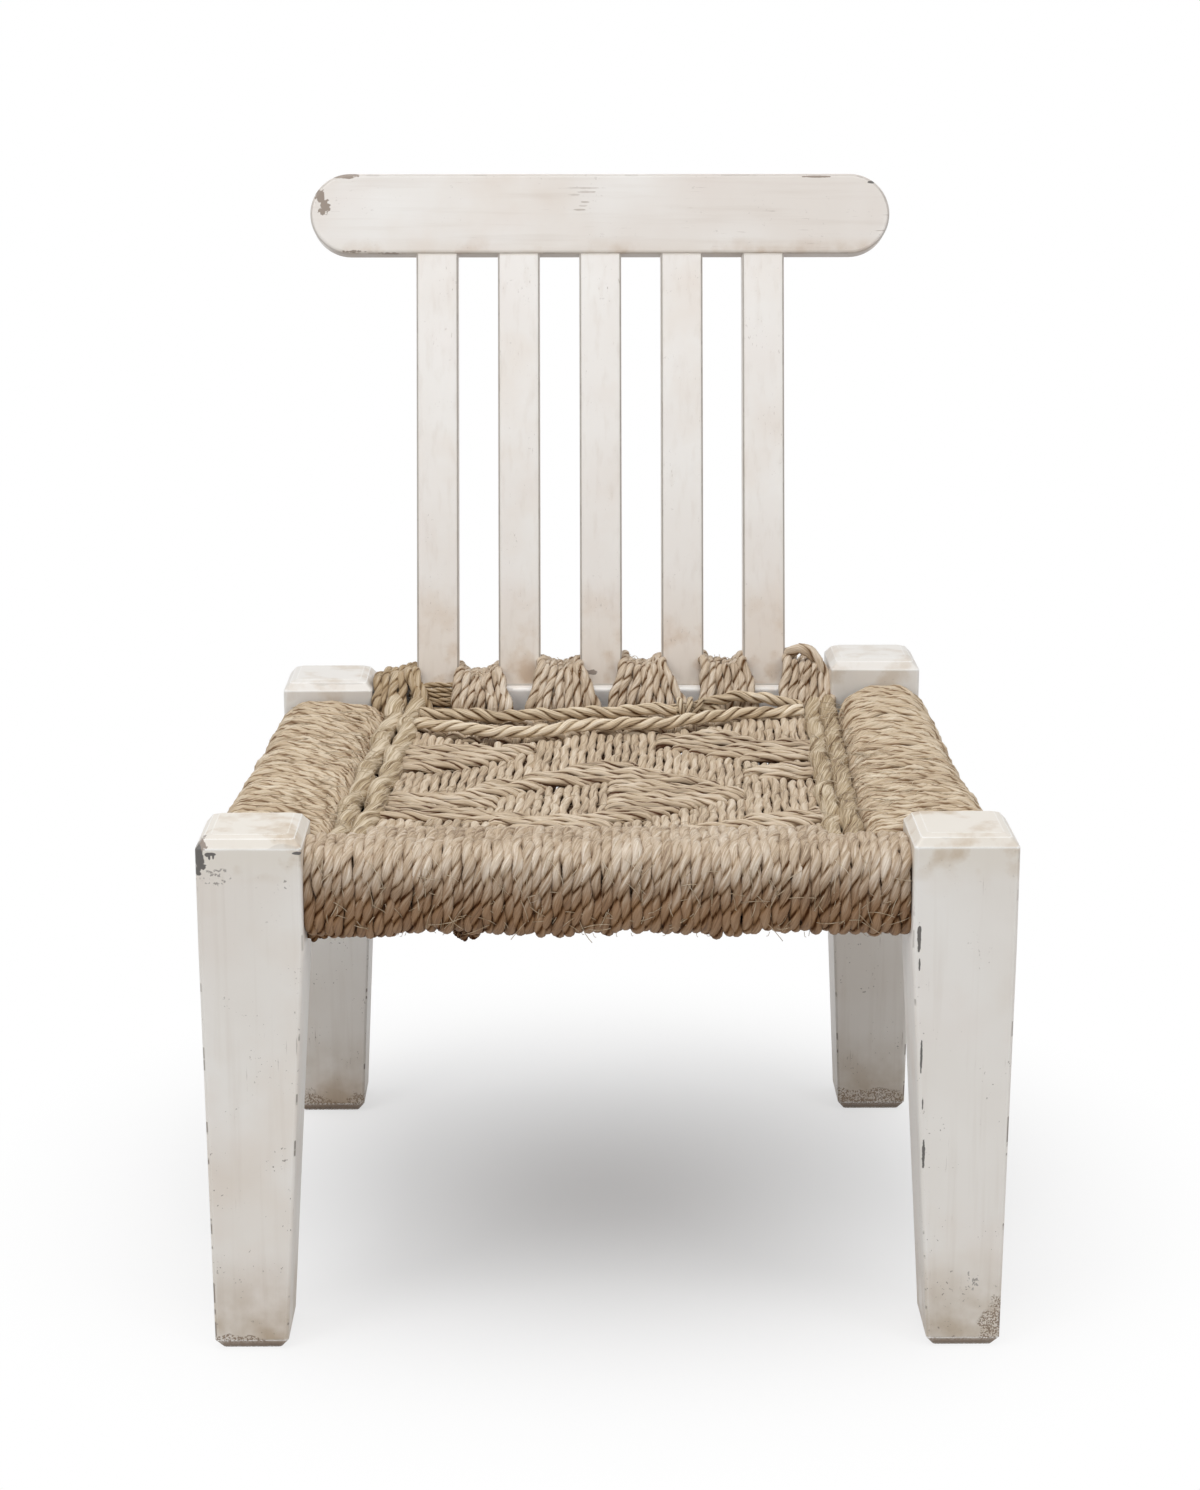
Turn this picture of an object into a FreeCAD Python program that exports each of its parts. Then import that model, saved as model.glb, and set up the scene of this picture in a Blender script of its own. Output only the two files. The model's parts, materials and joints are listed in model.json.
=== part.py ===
import FreeCAD, Part
import math
import os
import re

import Sketcher
from FreeCAD import Placement, Rotation, Vector

# Low armless lounge chair: four square legs, four rails, a rope seat and a raked slat back.
# X runs across the chair, the front faces -Y, Z is up, and the origin is on the floor
# under the middle of the whole chair. Every length is in millimetres.

# Driving sizes
SIZES = {
    "front_width": 560,             # over the front legs
    "rear_width": 525,              # over the rear legs
    "rear_leg_setback": 460,        # front face of a front leg to front face of a rear leg
    "front_leg_width": 72,
    "front_leg_depth": 75,
    "rear_leg_width": 73,
    "rear_leg_depth": 72,
    "front_leg_stand": 10,          # arris under the pillowed head above the side rails
    "rear_left_stand": 1,           # the same above the rear rail
    "rear_right_stand": 18,
    "shoulder_rise": 6,             # slope of the head above the arris
    "shoulder_inset": 5,
    "head_rise": 8,                 # the crown eases over to the flat top
    "crown_inset": 5,
    "taper_drop": 18,               # the legs taper from this far under the rails
    "outer_taper": 2,
    "front_inner_taper": 18,
    "rear_inner_taper": 14,
    "front_face_taper": 5,
    "back_face_taper": 10,
    "foot_rise": 7,
    "foot_inset": 5,
    "long_edge_round": 2.5,
    "rail_base": 316,
    "rail_height": 44,
    "rail_thickness": 44,
    "rail_setback": 14,             # front and rear rails behind the leg faces
    "side_rail_inset": 7.5,         # side rails inside the outer leg faces
    "rear_rail_rise": 12,           # above the side rails
    "rail_round": 16,               # front and side rails, wholly under the rope
    "rear_rail_round": 3,
    "rail_tenon_height": 26,
    "rail_tenon_thickness": 16,
    "cross_tenon_length": 28,
    "side_tenon_length": 40,
    "tenon_gap": 0.2,
    "slat_pitch_share": 0.3588,     # of half the room between the rear legs
    "slat_width": 35,
    "slat_thickness": 20,
    "slat_setback": 10,             # behind the front face of the rear rail
    "slat_length": 360.5,
    "slat_round": 2.5,
    "slat_tenon_width": 25,
    "slat_tenon_thickness": 10,
    "slat_tenon_foot": 20,
    "slat_tenon_head": 26,
    "back_rake": 14.5,              # degrees
    "crest_length": 484,
    "crest_height": 67,
    "crest_thickness": 22,
    "crest_round": 3,
    "rope_diameter": 6.4,
    "rope_gap": 0.5,                # between neighbouring turns
    "wrap_gap": 0.3,                # between rope and whatever it lies against
    "nose_depth": 16,               # height of the inner end of a band
    "side_nose_drop": 11,           # side bands fall this much from the rail to the cords
    "rear_nose_drop": 18,
    "rear_nose_reach": 20,          # rear bands reach this far in front of the rear rail
    "rear_band_rise": 12,           # bands beside the slats pile up this high over the rail
    "edge_cord_diameter": 12.5,
    "left_front_band_run": 61,      # middle of the left rail to its outer cord, at the front
    "left_rear_band_run": 63,
    "left_cord_spacing": 16,
    "right_front_band_run": 78,
    "right_rear_band_run": 46.5,
    "right_cord_spacing": 13.5,
    "edge_cord_drop": 5,            # cord centres below the tops of the side rails
    "panel_thickness": 13,
    "panel_drop": 2,                # seat surface below the tops of the side rails
    "panel_sag": 4,
    "panel_lip_run": 22,            # front strip where the strands come down off the rail
    "panel_lip_rise": 4,
    "panel_rest_run": 105,          # level strip at the rear, under the cross cords
    "rear_cord_diameter": 11.5,
    "knot_width": 12,
    "knot_depth": 10,
    "knot_height": 9,
    "knot_place": 98,               # middle knot, left of the middle of the front rail
    "cut_over": 2,                  # overrun of every cut
}

# Places worked out from the sizes
PLACES = {
    "half_front": "front_width / 2",
    "half_rear": "rear_width / 2",
    "front_leg_back": "front_leg_depth",
    "rail_top": "rail_base + rail_height",
    "rear_rail_base": "rail_base + rear_rail_rise",
    "rear_rail_top": "rear_rail_base + rail_height",
    "front_leg_height": "rail_top + front_leg_stand",
    "rear_left_height": "rear_rail_top + rear_left_stand",
    "rear_right_height": "rear_rail_top + rear_right_stand",
    "taper_height": "rail_base - taper_drop",
    "front_span": "front_width / 2 - front_leg_width",
    "rear_span": "rear_width / 2 - rear_leg_width",
    "rear_rail_front": "rear_leg_setback + rail_setback",
    "rear_rail_back": "rear_leg_setback + rail_setback + rail_thickness",
    "front_rail_middle": "rail_setback + rail_thickness / 2",
    "rear_rail_middle": "rear_rail_front + rail_thickness / 2",
    "tenon_base": "rail_base + (rail_height - rail_tenon_height) / 2",
    "rear_tenon_base": "rear_rail_base + (rail_height - rail_tenon_height) / 2",
    "side_run": "rear_leg_setback - front_leg_depth",
    "side_front": "front_width / 2 - side_rail_inset - rail_thickness / 2",
    "side_rear": "rear_width / 2 - side_rail_inset - rail_thickness / 2",
    "side_slope": "(side_front - side_rear) / side_run",
    "slat_front": "rear_leg_setback + rail_setback + slat_setback",
    "slat_pitch": "rear_span * slat_pitch_share",
    "slat_total": "slat_length + crest_height",
    "tenon_near": "(slat_thickness - slat_tenon_thickness) / 2",
    "tenon_far": "(slat_thickness + slat_tenon_thickness) / 2",
    "crest_top_front": "slat_front + slat_total * sin(back_rake)",
    "chair_depth": "crest_top_front + crest_thickness * cos(back_rake)"
                   " - crest_round * (sin(back_rake) + cos(back_rake) - 1)",
    "mid_depth": "chair_depth / 2",
    "rope_radius": "rope_diameter / 2",
    "rope_stand": "wrap_gap + rope_diameter / 2",
    "rope_lane": "rope_diameter + rope_gap",
    "wrap_back": "rail_setback + rail_thickness + wrap_gap + rope_diameter",
    "panel_front": "wrap_back + wrap_gap",
    "panel_back": "rear_rail_front - rear_nose_reach - rope_radius - wrap_gap",
    "panel_top": "rail_top - panel_drop",
    "cord_radius": "edge_cord_diameter / 2",
    "cord_level": "rail_top - edge_cord_drop",
    "lip_end": "panel_front + panel_lip_run",
    "rest_start": "panel_back - panel_rest_run",
    "dish_radius": "((rest_start - lip_end) ^ 2 / 4 + panel_sag ^ 2) / (2 * panel_sag)",
}

# The edge cords differ on the two sides, each place measured from the middle of the chair
SIDES = {"left": -1, "right": 1}
for word in SIDES:
    PLACES[f"{word}_cord_front"] = f"side_front - {word}_front_band_run"
    PLACES[f"{word}_cord_rear"] = f"side_rear - {word}_rear_band_run"
    PLACES[f"{word}_cord_slope"] = f"({word}_cord_front - {word}_cord_rear) / (panel_back - panel_front)"
    PLACES[f"{word}_edge_front"] = f"{word}_cord_front - {word}_cord_spacing - cord_radius - wrap_gap"
    PLACES[f"{word}_edge_rear"] = f"{word}_cord_rear - {word}_cord_spacing - cord_radius - wrap_gap"
    PLACES[f"{word}_band_end"] = f"min({word}_cord_rear + cord_radius; rear_span - wrap_gap)"
PLACES["widest_edge"] = "max(left_edge_front; left_edge_rear; right_edge_front; right_edge_rear)"
PLACES["panel_stock"] = "widest_edge + 2 * cut_over"

MOST_TURNS = 24                # turns in one unbroken length
NEAR = 0.01                         # two places closer than this are the same
NEARLY_PARALLEL = 30                # degrees
SPOTS_PER_TURN = 48                 # points measured on each turn of rope
CORD_BEND_SHARE = 0.45              # of the shorter run beside a bend
SLAT_STEPS = (-2, -1, 0, 1, 2)

doc = FreeCAD.newDocument("lounge_chair")
sheet = doc.addObject("Spreadsheet::Sheet", "Sizes")
for row, (alias, number) in enumerate(SIZES.items(), start=1):
    sheet.set(f"A{row}", str(number))
    sheet.setAlias(f"A{row}", alias)
doc.recompute()


# Reading and binding sizes
def formula(text):
    """Spell out the places in a formula and name the sheet before each size."""
    def spell(match):
        word = match.group()
        if word in PLACES:
            return "(" + formula(PLACES[word]) + ")"
        return "Sizes." + word if word in SIZES else word
    return re.sub(r"[a-z]\w*", spell, text)


def size(text):
    """Give the present value of a formula."""
    return float(sheet.evalExpression(formula(text)))


def bind(thing, path, text):
    """Tie one property of an object to a formula in the sheet's sizes."""
    thing.setExpression(path, formula(text))


# Bodies, sketches and features
def new_body(name):
    """Start a wooden piece that stands in the chair's frame."""
    body = doc.addObject("PartDesign::Body", name)
    body.Label = name
    bind(body, "Placement.Base.y", "-mid_depth")
    return body


def origin_plane(body, role):
    """Find one of the body's own origin planes."""
    return next(item for item in body.Origin.OriginFeatures if item.Role == role)


def new_sketch(body, name, role, place):
    """Attach a sketch to an origin plane, moved to a place along that plane's world axis."""
    sketch = body.newObject("Sketcher::SketchObject", name)
    sketch.AttachmentSupport = (origin_plane(body, role), [""])
    sketch.MapMode = "FlatFace"
    bind(sketch, "AttachmentOffset.Base.z", f"-({place})" if role == "XZ_Plane" else place)
    return sketch


def pin(sketch, item, point, across, up):
    """Hold one point of a sketch at two formulas from the sketch's origin."""
    for kind, text in (("DistanceX", across), ("DistanceY", up)):
        number = sketch.addConstraint(Sketcher.Constraint(kind, -1, 1, item, point, size(text)))
        bind(sketch, f"Constraints[{number}]", text)


def draw_outline(sketch, corners):
    """Draw a closed outline of straight lines through corners given as pairs of formulas."""
    first = sketch.GeometryCount
    spots = [Vector(size(across), size(up), 0) for across, up in corners]
    for index, spot in enumerate(spots):
        sketch.addGeometry(Part.LineSegment(spot, spots[(index + 1) % len(spots)]))
    for index, (across, up) in enumerate(corners):
        follower = first + (index + 1) % len(spots)
        sketch.addConstraint(Sketcher.Constraint("Coincident", first + index, 2, follower, 1))
        pin(sketch, first + index, 1, across, up)


def draw_line(sketch, start, end):
    """Draw a straight line between two spots given as pairs of formulas."""
    spots = [Vector(size(across), size(up), 0) for across, up in (start, end)]
    item = sketch.addGeometry(Part.LineSegment(*spots))
    pin(sketch, item, 1, *start)
    pin(sketch, item, 2, *end)
    return item


def draw_rounded(sketch, low, high, bottom, top, radius):
    """Draw an upright rectangle with quarter-round corners, anticlockwise from its lower edge."""
    first = sketch.GeometryCount
    inner_low, inner_high = f"{low} + {radius}", f"{high} - {radius}"
    inner_bottom, inner_top = f"{bottom} + {radius}", f"{top} - {radius}"
    straights = [
        ((inner_low, bottom), (inner_high, bottom)), ((high, inner_bottom), (high, inner_top)),
        ((inner_high, top), (inner_low, top)), ((low, inner_top), (low, inner_bottom)),
    ]
    centres = [(inner_high, inner_bottom), (inner_high, inner_top), (inner_low, inner_top),
               (inner_low, inner_bottom)]
    for start, end in straights:
        draw_line(sketch, start, end)
    for index, (across, up) in enumerate(centres):
        circle = Part.Circle(Vector(size(across), size(up), 0), Vector(0, 0, 1), size(radius))
        turn = (index - 1) * math.pi / 2
        item = sketch.addGeometry(Part.ArcOfCircle(circle, turn, turn + math.pi / 2))
        sketch.addConstraint(Sketcher.Constraint("Coincident", item, 1, first + index, 2))
        sketch.addConstraint(Sketcher.Constraint("Coincident", item, 2, first + (index + 1) % 4, 1))
        number = sketch.addConstraint(Sketcher.Constraint("Radius", item, size(radius)))
        bind(sketch, f"Constraints[{number}]", radius)


def add_feature(body, kind, sketch, length, along):
    """Pad or pocket a sketch by a length, forwards or backwards along the world axis."""
    feature = body.newObject("PartDesign::" + kind, f"{sketch.Name}_{kind.lower()}")
    feature.Profile = sketch
    bind(feature, "Length", length)
    normal = -1 if "XZ" in sketch.AttachmentSupport[0][0].Name else 1
    natural = normal if kind == "Pad" else -normal
    feature.Reversed = natural != along
    sketch.Visibility = False
    doc.recompute()
    return feature


def prism(body, kind, name, role, place, length, outlines, along=1):
    """Pad or pocket one or more outlines from a place along an axis."""
    sketch = new_sketch(body, name, role, place)
    for corners in outlines:
        draw_outline(sketch, corners)
    before = body.Shape.Volume if kind == "Pocket" else 0
    feature = add_feature(body, kind, sketch, length, along)
    if kind == "Pocket" and body.Shape.Volume >= before:
        raise ValueError(f"{name} cuts nothing")
    return feature


def box_corners(low, high, bottom, top):
    """Give the corners of an upright rectangle."""
    return [(low, bottom), (high, bottom), (high, top), (low, top)]


def round_edges(body, name, radius, wanted):
    """Round the edges of the body that pass a test."""
    base = body.Tip
    names = [f"Edge{index}" for index, edge in enumerate(base.Shape.Edges, start=1) if wanted(edge)]
    fillet = body.newObject("PartDesign::Fillet", name)
    fillet.Base = (base, names)
    bind(fillet, "Radius", radius)
    doc.recompute()
    return fillet


def runs_along(edge, axis):
    """Say whether an edge is straight and nearly parallel to an axis."""
    if len(edge.Vertexes) < 2 or not isinstance(edge.Curve, (Part.Line, Part.LineSegment)):
        return False
    way = (edge.Vertexes[1].Point - edge.Vertexes[0].Point).normalize()
    return abs(way.dot(axis)) > math.cos(math.radians(NEARLY_PARALLEL))


def slanted_outline(side, half, start, end):
    """Give the corners of a strip along a side rail, which closes in towards the back."""
    corners = []
    for place, offset in ((start, "-"), (end, "-"), (end, "+"), (start, "+")):
        middle = f"side_front - side_slope * ({place} - front_leg_back)"
        corners.append((f"{side} * ({middle} {offset} ({half}))", place))
    return corners


# Legs
def make_leg(name, side, leg):
    """Square leg with a pillowed head, a tapered shank, a worn foot and two mortises."""
    body = new_body(name)
    front, width, depth, height = leg["front"], leg["width"], leg["depth"], leg["height"]
    near_taper, far_taper = leg["tapers"]
    sections = [
        ("0", "outer_taper + foot_inset", f"{leg['taper']} + foot_inset",
         f"{near_taper} + foot_inset", f"{far_taper} + foot_inset"),
        ("foot_rise", "outer_taper", leg["taper"], near_taper, far_taper),
        ("taper_height", "0", "0", "0", "0"),
        (height, "0", "0", "0", "0"),
        (f"{height} + shoulder_rise", *["shoulder_inset"] * 4),
        (f"{height} + head_rise", *["shoulder_inset + crown_inset"] * 4),
    ]
    sketches = []
    for number, (level, outer, inner, near, far) in enumerate(sections, start=1):
        sketch = new_sketch(body, f"{name}_section_{number}", "XY_Plane", level)
        outer_x = f"{side} * ({leg['half']} - ({outer}))"
        inner_x = f"{side} * ({leg['half']} - {width} + ({inner}))"
        low, high = (inner_x, outer_x) if side > 0 else (outer_x, inner_x)
        draw_rounded(sketch, low, high, f"{front} + ({near})", f"{front} + {depth} - ({far})",
                     "long_edge_round")
        sketches.append(sketch)
    loft = body.newObject("PartDesign::AdditiveLoft", f"{name}_loft")
    loft.Profile = sketches[0]
    loft.Sections = sketches[1:]
    loft.Ruled = True
    doc.recompute()
    add_mortises(body, name, side, leg)
    return body


def add_mortises(body, name, side, leg):
    """Cut the two mortises of a leg a named gap larger than the tenons that enter them."""
    half_slot = "rail_tenon_thickness / 2 + tenon_gap"
    face = f"({leg['half']} - {leg['width']})"
    cross_end = f"{face} + cross_tenon_length + tenon_gap"
    prism(body, "Pocket", f"{name}_cross_mortise", "XY_Plane",
          f"{leg['cross_base']} - tenon_gap", "rail_tenon_height + 2 * tenon_gap",
          [box_corners(f"{side} * ({face} - cut_over)", f"{side} * ({cross_end})",
                       f"{leg['cross_rail']} - ({half_slot})", f"{leg['cross_rail']} + {half_slot}")])
    prism(body, "Pocket", f"{name}_side_mortise", "XY_Plane",
          "tenon_base - tenon_gap", "rail_tenon_height + 2 * tenon_gap",
          [slanted_outline(side, half_slot, *leg["side_mortise"])])


FRONT_LEG = {
    "half": "half_front", "width": "front_leg_width", "depth": "front_leg_depth",
    "height": "front_leg_height", "front": "0", "taper": "front_inner_taper",
    "tapers": ("front_face_taper", "back_face_taper"),
    "cross_rail": "front_rail_middle", "cross_base": "tenon_base",
    "side_mortise": ("front_leg_back - side_tenon_length - tenon_gap", "front_leg_back + cut_over"),
}
REAR_LEG = {
    "half": "half_rear", "width": "rear_leg_width", "depth": "rear_leg_depth",
    "front": "rear_leg_setback", "taper": "rear_inner_taper",
    "tapers": ("back_face_taper", "front_face_taper"),
    "cross_rail": "rear_rail_middle", "cross_base": "rear_tenon_base",
    "side_mortise": ("rear_leg_setback - cut_over", "rear_leg_setback + side_tenon_length + tenon_gap"),
}

for word, side in SIDES.items():
    make_leg(f"front_{word}_leg", side, FRONT_LEG)
    make_leg(f"rear_{word}_leg", side, {**REAR_LEG, "height": f"rear_{word}_height"})


# Rails
def make_cross_rail(name, span, front, base, tenon_base, edge_round):
    """Rail across the chair, with a tenon at each end."""
    body = new_body(name)
    top = f"{base} + rail_height"
    prism(body, "Pad", f"{name}_stock", "XZ_Plane", front, "rail_thickness",
          [box_corners(f"-{span}", span, base, top)])
    round_edges(body, f"{name}_round", edge_round, lambda edge: runs_along(edge, Vector(1, 0, 0)))
    reach = f"({span} + cross_tenon_length)"
    prism(body, "Pad", f"{name}_tenons", "XZ_Plane",
          f"{front} + (rail_thickness - rail_tenon_thickness) / 2", "rail_tenon_thickness",
          [box_corners(f"-{reach}", reach, tenon_base, f"{tenon_base} + rail_tenon_height")])
    return body


def make_side_rail(name, side):
    """Rail from a front leg to a rear leg, closing in towards the back."""
    body = new_body(name)
    prism(body, "Pad", f"{name}_stock", "XY_Plane", "rail_base", "rail_height",
          [slanted_outline(side, "rail_thickness / 2", "front_leg_back", "rear_leg_setback")])
    round_edges(body, f"{name}_round", "rail_round", lambda edge: runs_along(edge, Vector(0, 1, 0)))
    prism(body, "Pad", f"{name}_tenons", "XY_Plane", "tenon_base", "rail_tenon_height",
          [slanted_outline(side, "rail_tenon_thickness / 2", "front_leg_back - side_tenon_length",
                           "rear_leg_setback + side_tenon_length")])
    return body


make_cross_rail("front_rail", "front_span", "rail_setback", "rail_base", "tenon_base", "rail_round")
rear_rail = make_cross_rail("rear_rail", "rear_span", "rear_rail_front", "rear_rail_base",
                            "rear_tenon_base", "rear_rail_round")
for word, side in SIDES.items():
    make_side_rail(f"{word}_rail", side)


# Rear rail: five raked mortises for the feet of the slats
def raked(depth_in, rise):
    """Give the chair's y of a line that lies depth_in behind the back's front plane."""
    return f"slat_front + ({rise}) * tan(back_rake) + ({depth_in}) / cos(back_rake)"


for number, step in enumerate(SLAT_STEPS, start=1):
    near, far = "tenon_near - tenon_gap", "tenon_far + tenon_gap"
    bottom = "slat_tenon_foot + tenon_gap"
    prism(rear_rail, "Pocket", f"slat_mortise_{number}", "YZ_Plane",
          f"{step} * slat_pitch - slat_tenon_width / 2 - tenon_gap", "slat_tenon_width + 2 * tenon_gap",
          [[(raked(near, f"-({bottom})"), f"rear_rail_top - ({bottom})"),
            (raked(far, f"-({bottom})"), f"rear_rail_top - ({bottom})"),
            (raked(far, "cut_over"), "rear_rail_top + cut_over"),
            (raked(near, "cut_over"), "rear_rail_top + cut_over")]])


# Back: slats and crest are drawn upright and tilted about the foot line of the slats
def tilt(body):
    """Lean a body back about the line where the slats stand on the rear rail."""
    body.Placement = Placement(Vector(), Rotation(Vector(-1, 0, 0), size("back_rake")))
    bind(body, "Placement.Rotation.Angle", "back_rake")
    bind(body, "Placement.Base.y", "slat_front - mid_depth")
    bind(body, "Placement.Base.z", "rear_rail_top")


def make_slat(name, step):
    """Flat upright slat with a stub tenon at each end."""
    body = new_body(name)
    tilt(body)
    middle = f"{step} * slat_pitch"
    prism(body, "Pad", f"{name}_stock", "YZ_Plane", f"{middle} - slat_width / 2", "slat_width",
          [[("0", "0"), ("slat_thickness", "slat_thickness * tan(back_rake)"),
            ("slat_thickness", "slat_length"), ("0", "slat_length")]])
    round_edges(body, f"{name}_round", "slat_round", lambda edge: runs_along(edge, Vector(0, 0, 1)))
    foot = "slat_tenon_foot / cos(back_rake)"
    prism(body, "Pad", f"{name}_tenons", "YZ_Plane",
          f"{middle} - slat_tenon_width / 2", "slat_tenon_width",
          [[("tenon_near", f"tenon_near * tan(back_rake) - {foot}"),
            ("tenon_far", f"tenon_far * tan(back_rake) - {foot}"),
            ("tenon_far", "slat_length + slat_tenon_head"),
            ("tenon_near", "slat_length + slat_tenon_head")]])
    return body


for number, step in enumerate(SLAT_STEPS, start=1):
    make_slat(f"back_slat_{number}", step)


def make_crest(name):
    """Crest rail with half-round ends and a mortise for each slat."""
    body = new_body(name)
    tilt(body)
    sketch = new_sketch(body, f"{name}_front_view", "XZ_Plane", "0")
    half, radius = size("(crest_length - crest_height) / 2"), size("crest_height / 2")
    low, high = size("slat_length"), size("slat_length + crest_height")
    quarter = math.pi / 2
    sketch.addGeometry(Part.LineSegment(Vector(-half, low, 0), Vector(half, low, 0)))
    right = Part.Circle(Vector(half, low + radius, 0), Vector(0, 0, 1), radius)
    sketch.addGeometry(Part.ArcOfCircle(right, -quarter, quarter))
    sketch.addGeometry(Part.LineSegment(Vector(half, high, 0), Vector(-half, high, 0)))
    left = Part.Circle(Vector(-half, low + radius, 0), Vector(0, 0, 1), radius)
    sketch.addGeometry(Part.ArcOfCircle(left, quarter, 3 * quarter))
    for item, follower, kind in ((0, 1, "Tangent"), (1, 2, "Coincident"), (2, 3, "Tangent"),
                                 (3, 0, "Coincident")):
        sketch.addConstraint(Sketcher.Constraint(kind, item, 2, follower, 1))
    straight_end = "(crest_length - crest_height) / 2"
    crest_top = "slat_length + crest_height"
    for item, point, across, up in (
            (0, 1, f"-{straight_end}", "slat_length"), (0, 2, straight_end, "slat_length"),
            (2, 1, straight_end, crest_top), (2, 2, f"-{straight_end}", crest_top)):
        pin(sketch, item, point, across, up)
    add_feature(body, "Pad", sketch, "crest_thickness", 1)
    middle = size("crest_thickness / 2")
    round_edges(body, f"{name}_round", "crest_round",
                lambda edge: abs(edge.CenterOfMass.y - middle) > middle - NEAR)
    for number, step in enumerate(SLAT_STEPS, start=1):
        centre = f"{step} * slat_pitch"
        prism(body, "Pocket", f"crest_mortise_{number}", "XY_Plane",
              "slat_length - cut_over", "slat_tenon_head + tenon_gap + cut_over",
              [box_corners(f"{centre} - slat_tenon_width / 2 - tenon_gap",
                           f"{centre} + slat_tenon_width / 2 + tenon_gap",
                           "tenon_near - tenon_gap", "tenon_far + tenon_gap")])
    return body


make_crest("crest_rail")


# Rope and cord as tubes
def rounded_run(points, bends):
    """Join points with straight runs and tangent arcs, one bend radius for each inner point."""
    edges = []
    start = points[0]
    for before, corner, after, bend in zip(points, points[1:], points[2:], bends):
        incoming = (corner - before).normalize()
        outgoing = (after - corner).normalize()
        turn = incoming.getAngle(outgoing)
        reach = bend * math.tan(turn / 2)
        enter = corner - incoming * reach
        leave = corner + outgoing * reach
        inward = (outgoing - incoming).normalize()
        middle = corner + inward * (bend / math.cos(turn / 2) - bend)
        edges.append(Part.makeLine(start, enter))
        edges.append(Part.Arc(enter, middle, leave).toShape())
        start = leave
    edges.append(Part.makeLine(start, points[-1]))
    return Part.Wire(edges)


def add_tube(name, path, radius):
    """Sweep a round section along a path as one piece, and compare its volume."""
    first = path.Edges[0]
    start = first.valueAt(first.FirstParameter)
    way = first.tangentAt(first.FirstParameter)
    shell = Part.BRepOffsetAPI.MakePipeShell(path)
    shell.add(Part.Wire(Part.makeCircle(radius, start, way)))
    shell.build()
    shell.makeSolid()
    piece = doc.addObject("Part::Feature", name)
    piece.Label = name
    piece.Shape = shell.shape()
    bind(piece, "Placement.Base.y", "-mid_depth")
    share = piece.Shape.Volume / (path.Length * math.pi * radius ** 2)
    print(f"{name}: {path.Length:.0f} long, volume {share:.4f} of section times length")
    return piece


def least_gap(path, turns, diameter):
    """Measure the least gap between neighbouring turns on points along the path."""
    spots = path.discretize(Number=turns * SPOTS_PER_TURN + 1)
    near, far = SPOTS_PER_TURN // 2, SPOTS_PER_TURN * 3 // 2
    nearest = min(
        spot.distanceToPoint(other)
        for index, spot in enumerate(spots)
        for other in spots[index + near:index + far])
    return nearest - diameter


def wind(name, section, place, low, high, bends):
    """Wind rope from low to high along an axis, round a section that may change on the way.

    The section gives its corners at a point of the axis, first the point under the rail
    where the rope starts and ends, and bends holds the bend radius at each of the others.
    The turns share out the room evenly.
    """
    diameter, lane = size("rope_diameter"), size("rope_lane")
    room = high - low - lane
    turns = max(1, min(MOST_TURNS, int(room / lane)))
    pitch = room / turns
    start = low + lane / 2
    corners = section(start)
    sides = [math.dist(corners[index - 1], corners[index]) for index in range(1, len(corners))]
    around = sum(sides) + math.dist(corners[-1], corners[0])
    points, curves = [], []
    for turn in range(turns):
        travelled = 0
        for index in range(len(corners)):
            if index:
                travelled += sides[index - 1]
            along = start + pitch * (turn + travelled / around)
            if index or not turn:
                points.append(place(along, *section(along)[index]))
            if index:
                curves.append(size(bends[index - 1]))
    end = start + pitch * turns
    points.append(place(end, *section(end)[0]))
    path = rounded_run(points, curves)
    if turns > 1:
        print(f"{name}: {turns} turns, least gap {least_gap(path, turns, diameter):.2f}")
    return add_tube(name, path, diameter / 2)


# Rope round the front rail
def front_section(_along):
    """Corners of a turn round the front rail, from under its middle, as (depth, height)."""
    near, far = size("rail_setback - rope_stand"), size("rail_setback + rail_thickness + rope_stand")
    low, high = size("rail_base - rope_stand"), size("rail_top + rope_stand")
    return [(size("front_rail_middle"), low), (near, low), (near, high), (far, high), (far, low)]


def across_place(along, depth, up):
    """Place a corner of a turn whose axis runs across the chair."""
    return Vector(along, depth, up)


FRONT_TUBES = 3
RAIL_BEND = "rail_round + rope_stand"
INNER_BEND = "rail_round / 2 + rope_stand"
TIGHT_BEND = "rear_rail_round + rope_stand"
front_room = 2 * size("front_span") / FRONT_TUBES
for number in range(FRONT_TUBES):
    low = number * front_room - size("front_span")
    wind(f"front_rail_wrap_{number + 1}", front_section, across_place, low, low + front_room,
         [RAIL_BEND] * 4)


# Rope bands between each side rail and its edge cords
def side_wrap(name, word, low, high):
    """Wind one length of a side band, whose inner end follows the outer edge cord."""
    side = SIDES[word]
    half, over = size("rail_thickness / 2 + rope_stand"), size("rail_thickness / 2")
    bottom, top = size("rail_base - rope_stand"), size("rail_top + rope_stand")
    nose_top = top - size("side_nose_drop")
    nose_bottom = nose_top - size("nose_depth")
    rail_x, rail_slope, leg_back = size("side_front"), size("side_slope"), size("front_leg_back")
    beside = size("cord_radius + rope_stand")
    cord_front, cord_slope = size(f"{word}_cord_front"), size(f"{word}_cord_slope")
    cord_start = size("panel_front")

    def section(along):
        middle = rail_x - rail_slope * (along - leg_back)
        nose = cord_front - cord_slope * (along - cord_start) + beside
        return [(middle, bottom), (middle + half, bottom), (middle + half, top), (middle - over, top),
                (nose, nose_top), (nose, nose_bottom), (middle - half, bottom)]

    def place(along, across, up):
        return Vector(side * across, along, up)

    wind(name, section, place, low, high,
         [RAIL_BEND, RAIL_BEND, INNER_BEND, TIGHT_BEND, TIGHT_BEND, RAIL_BEND])


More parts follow.
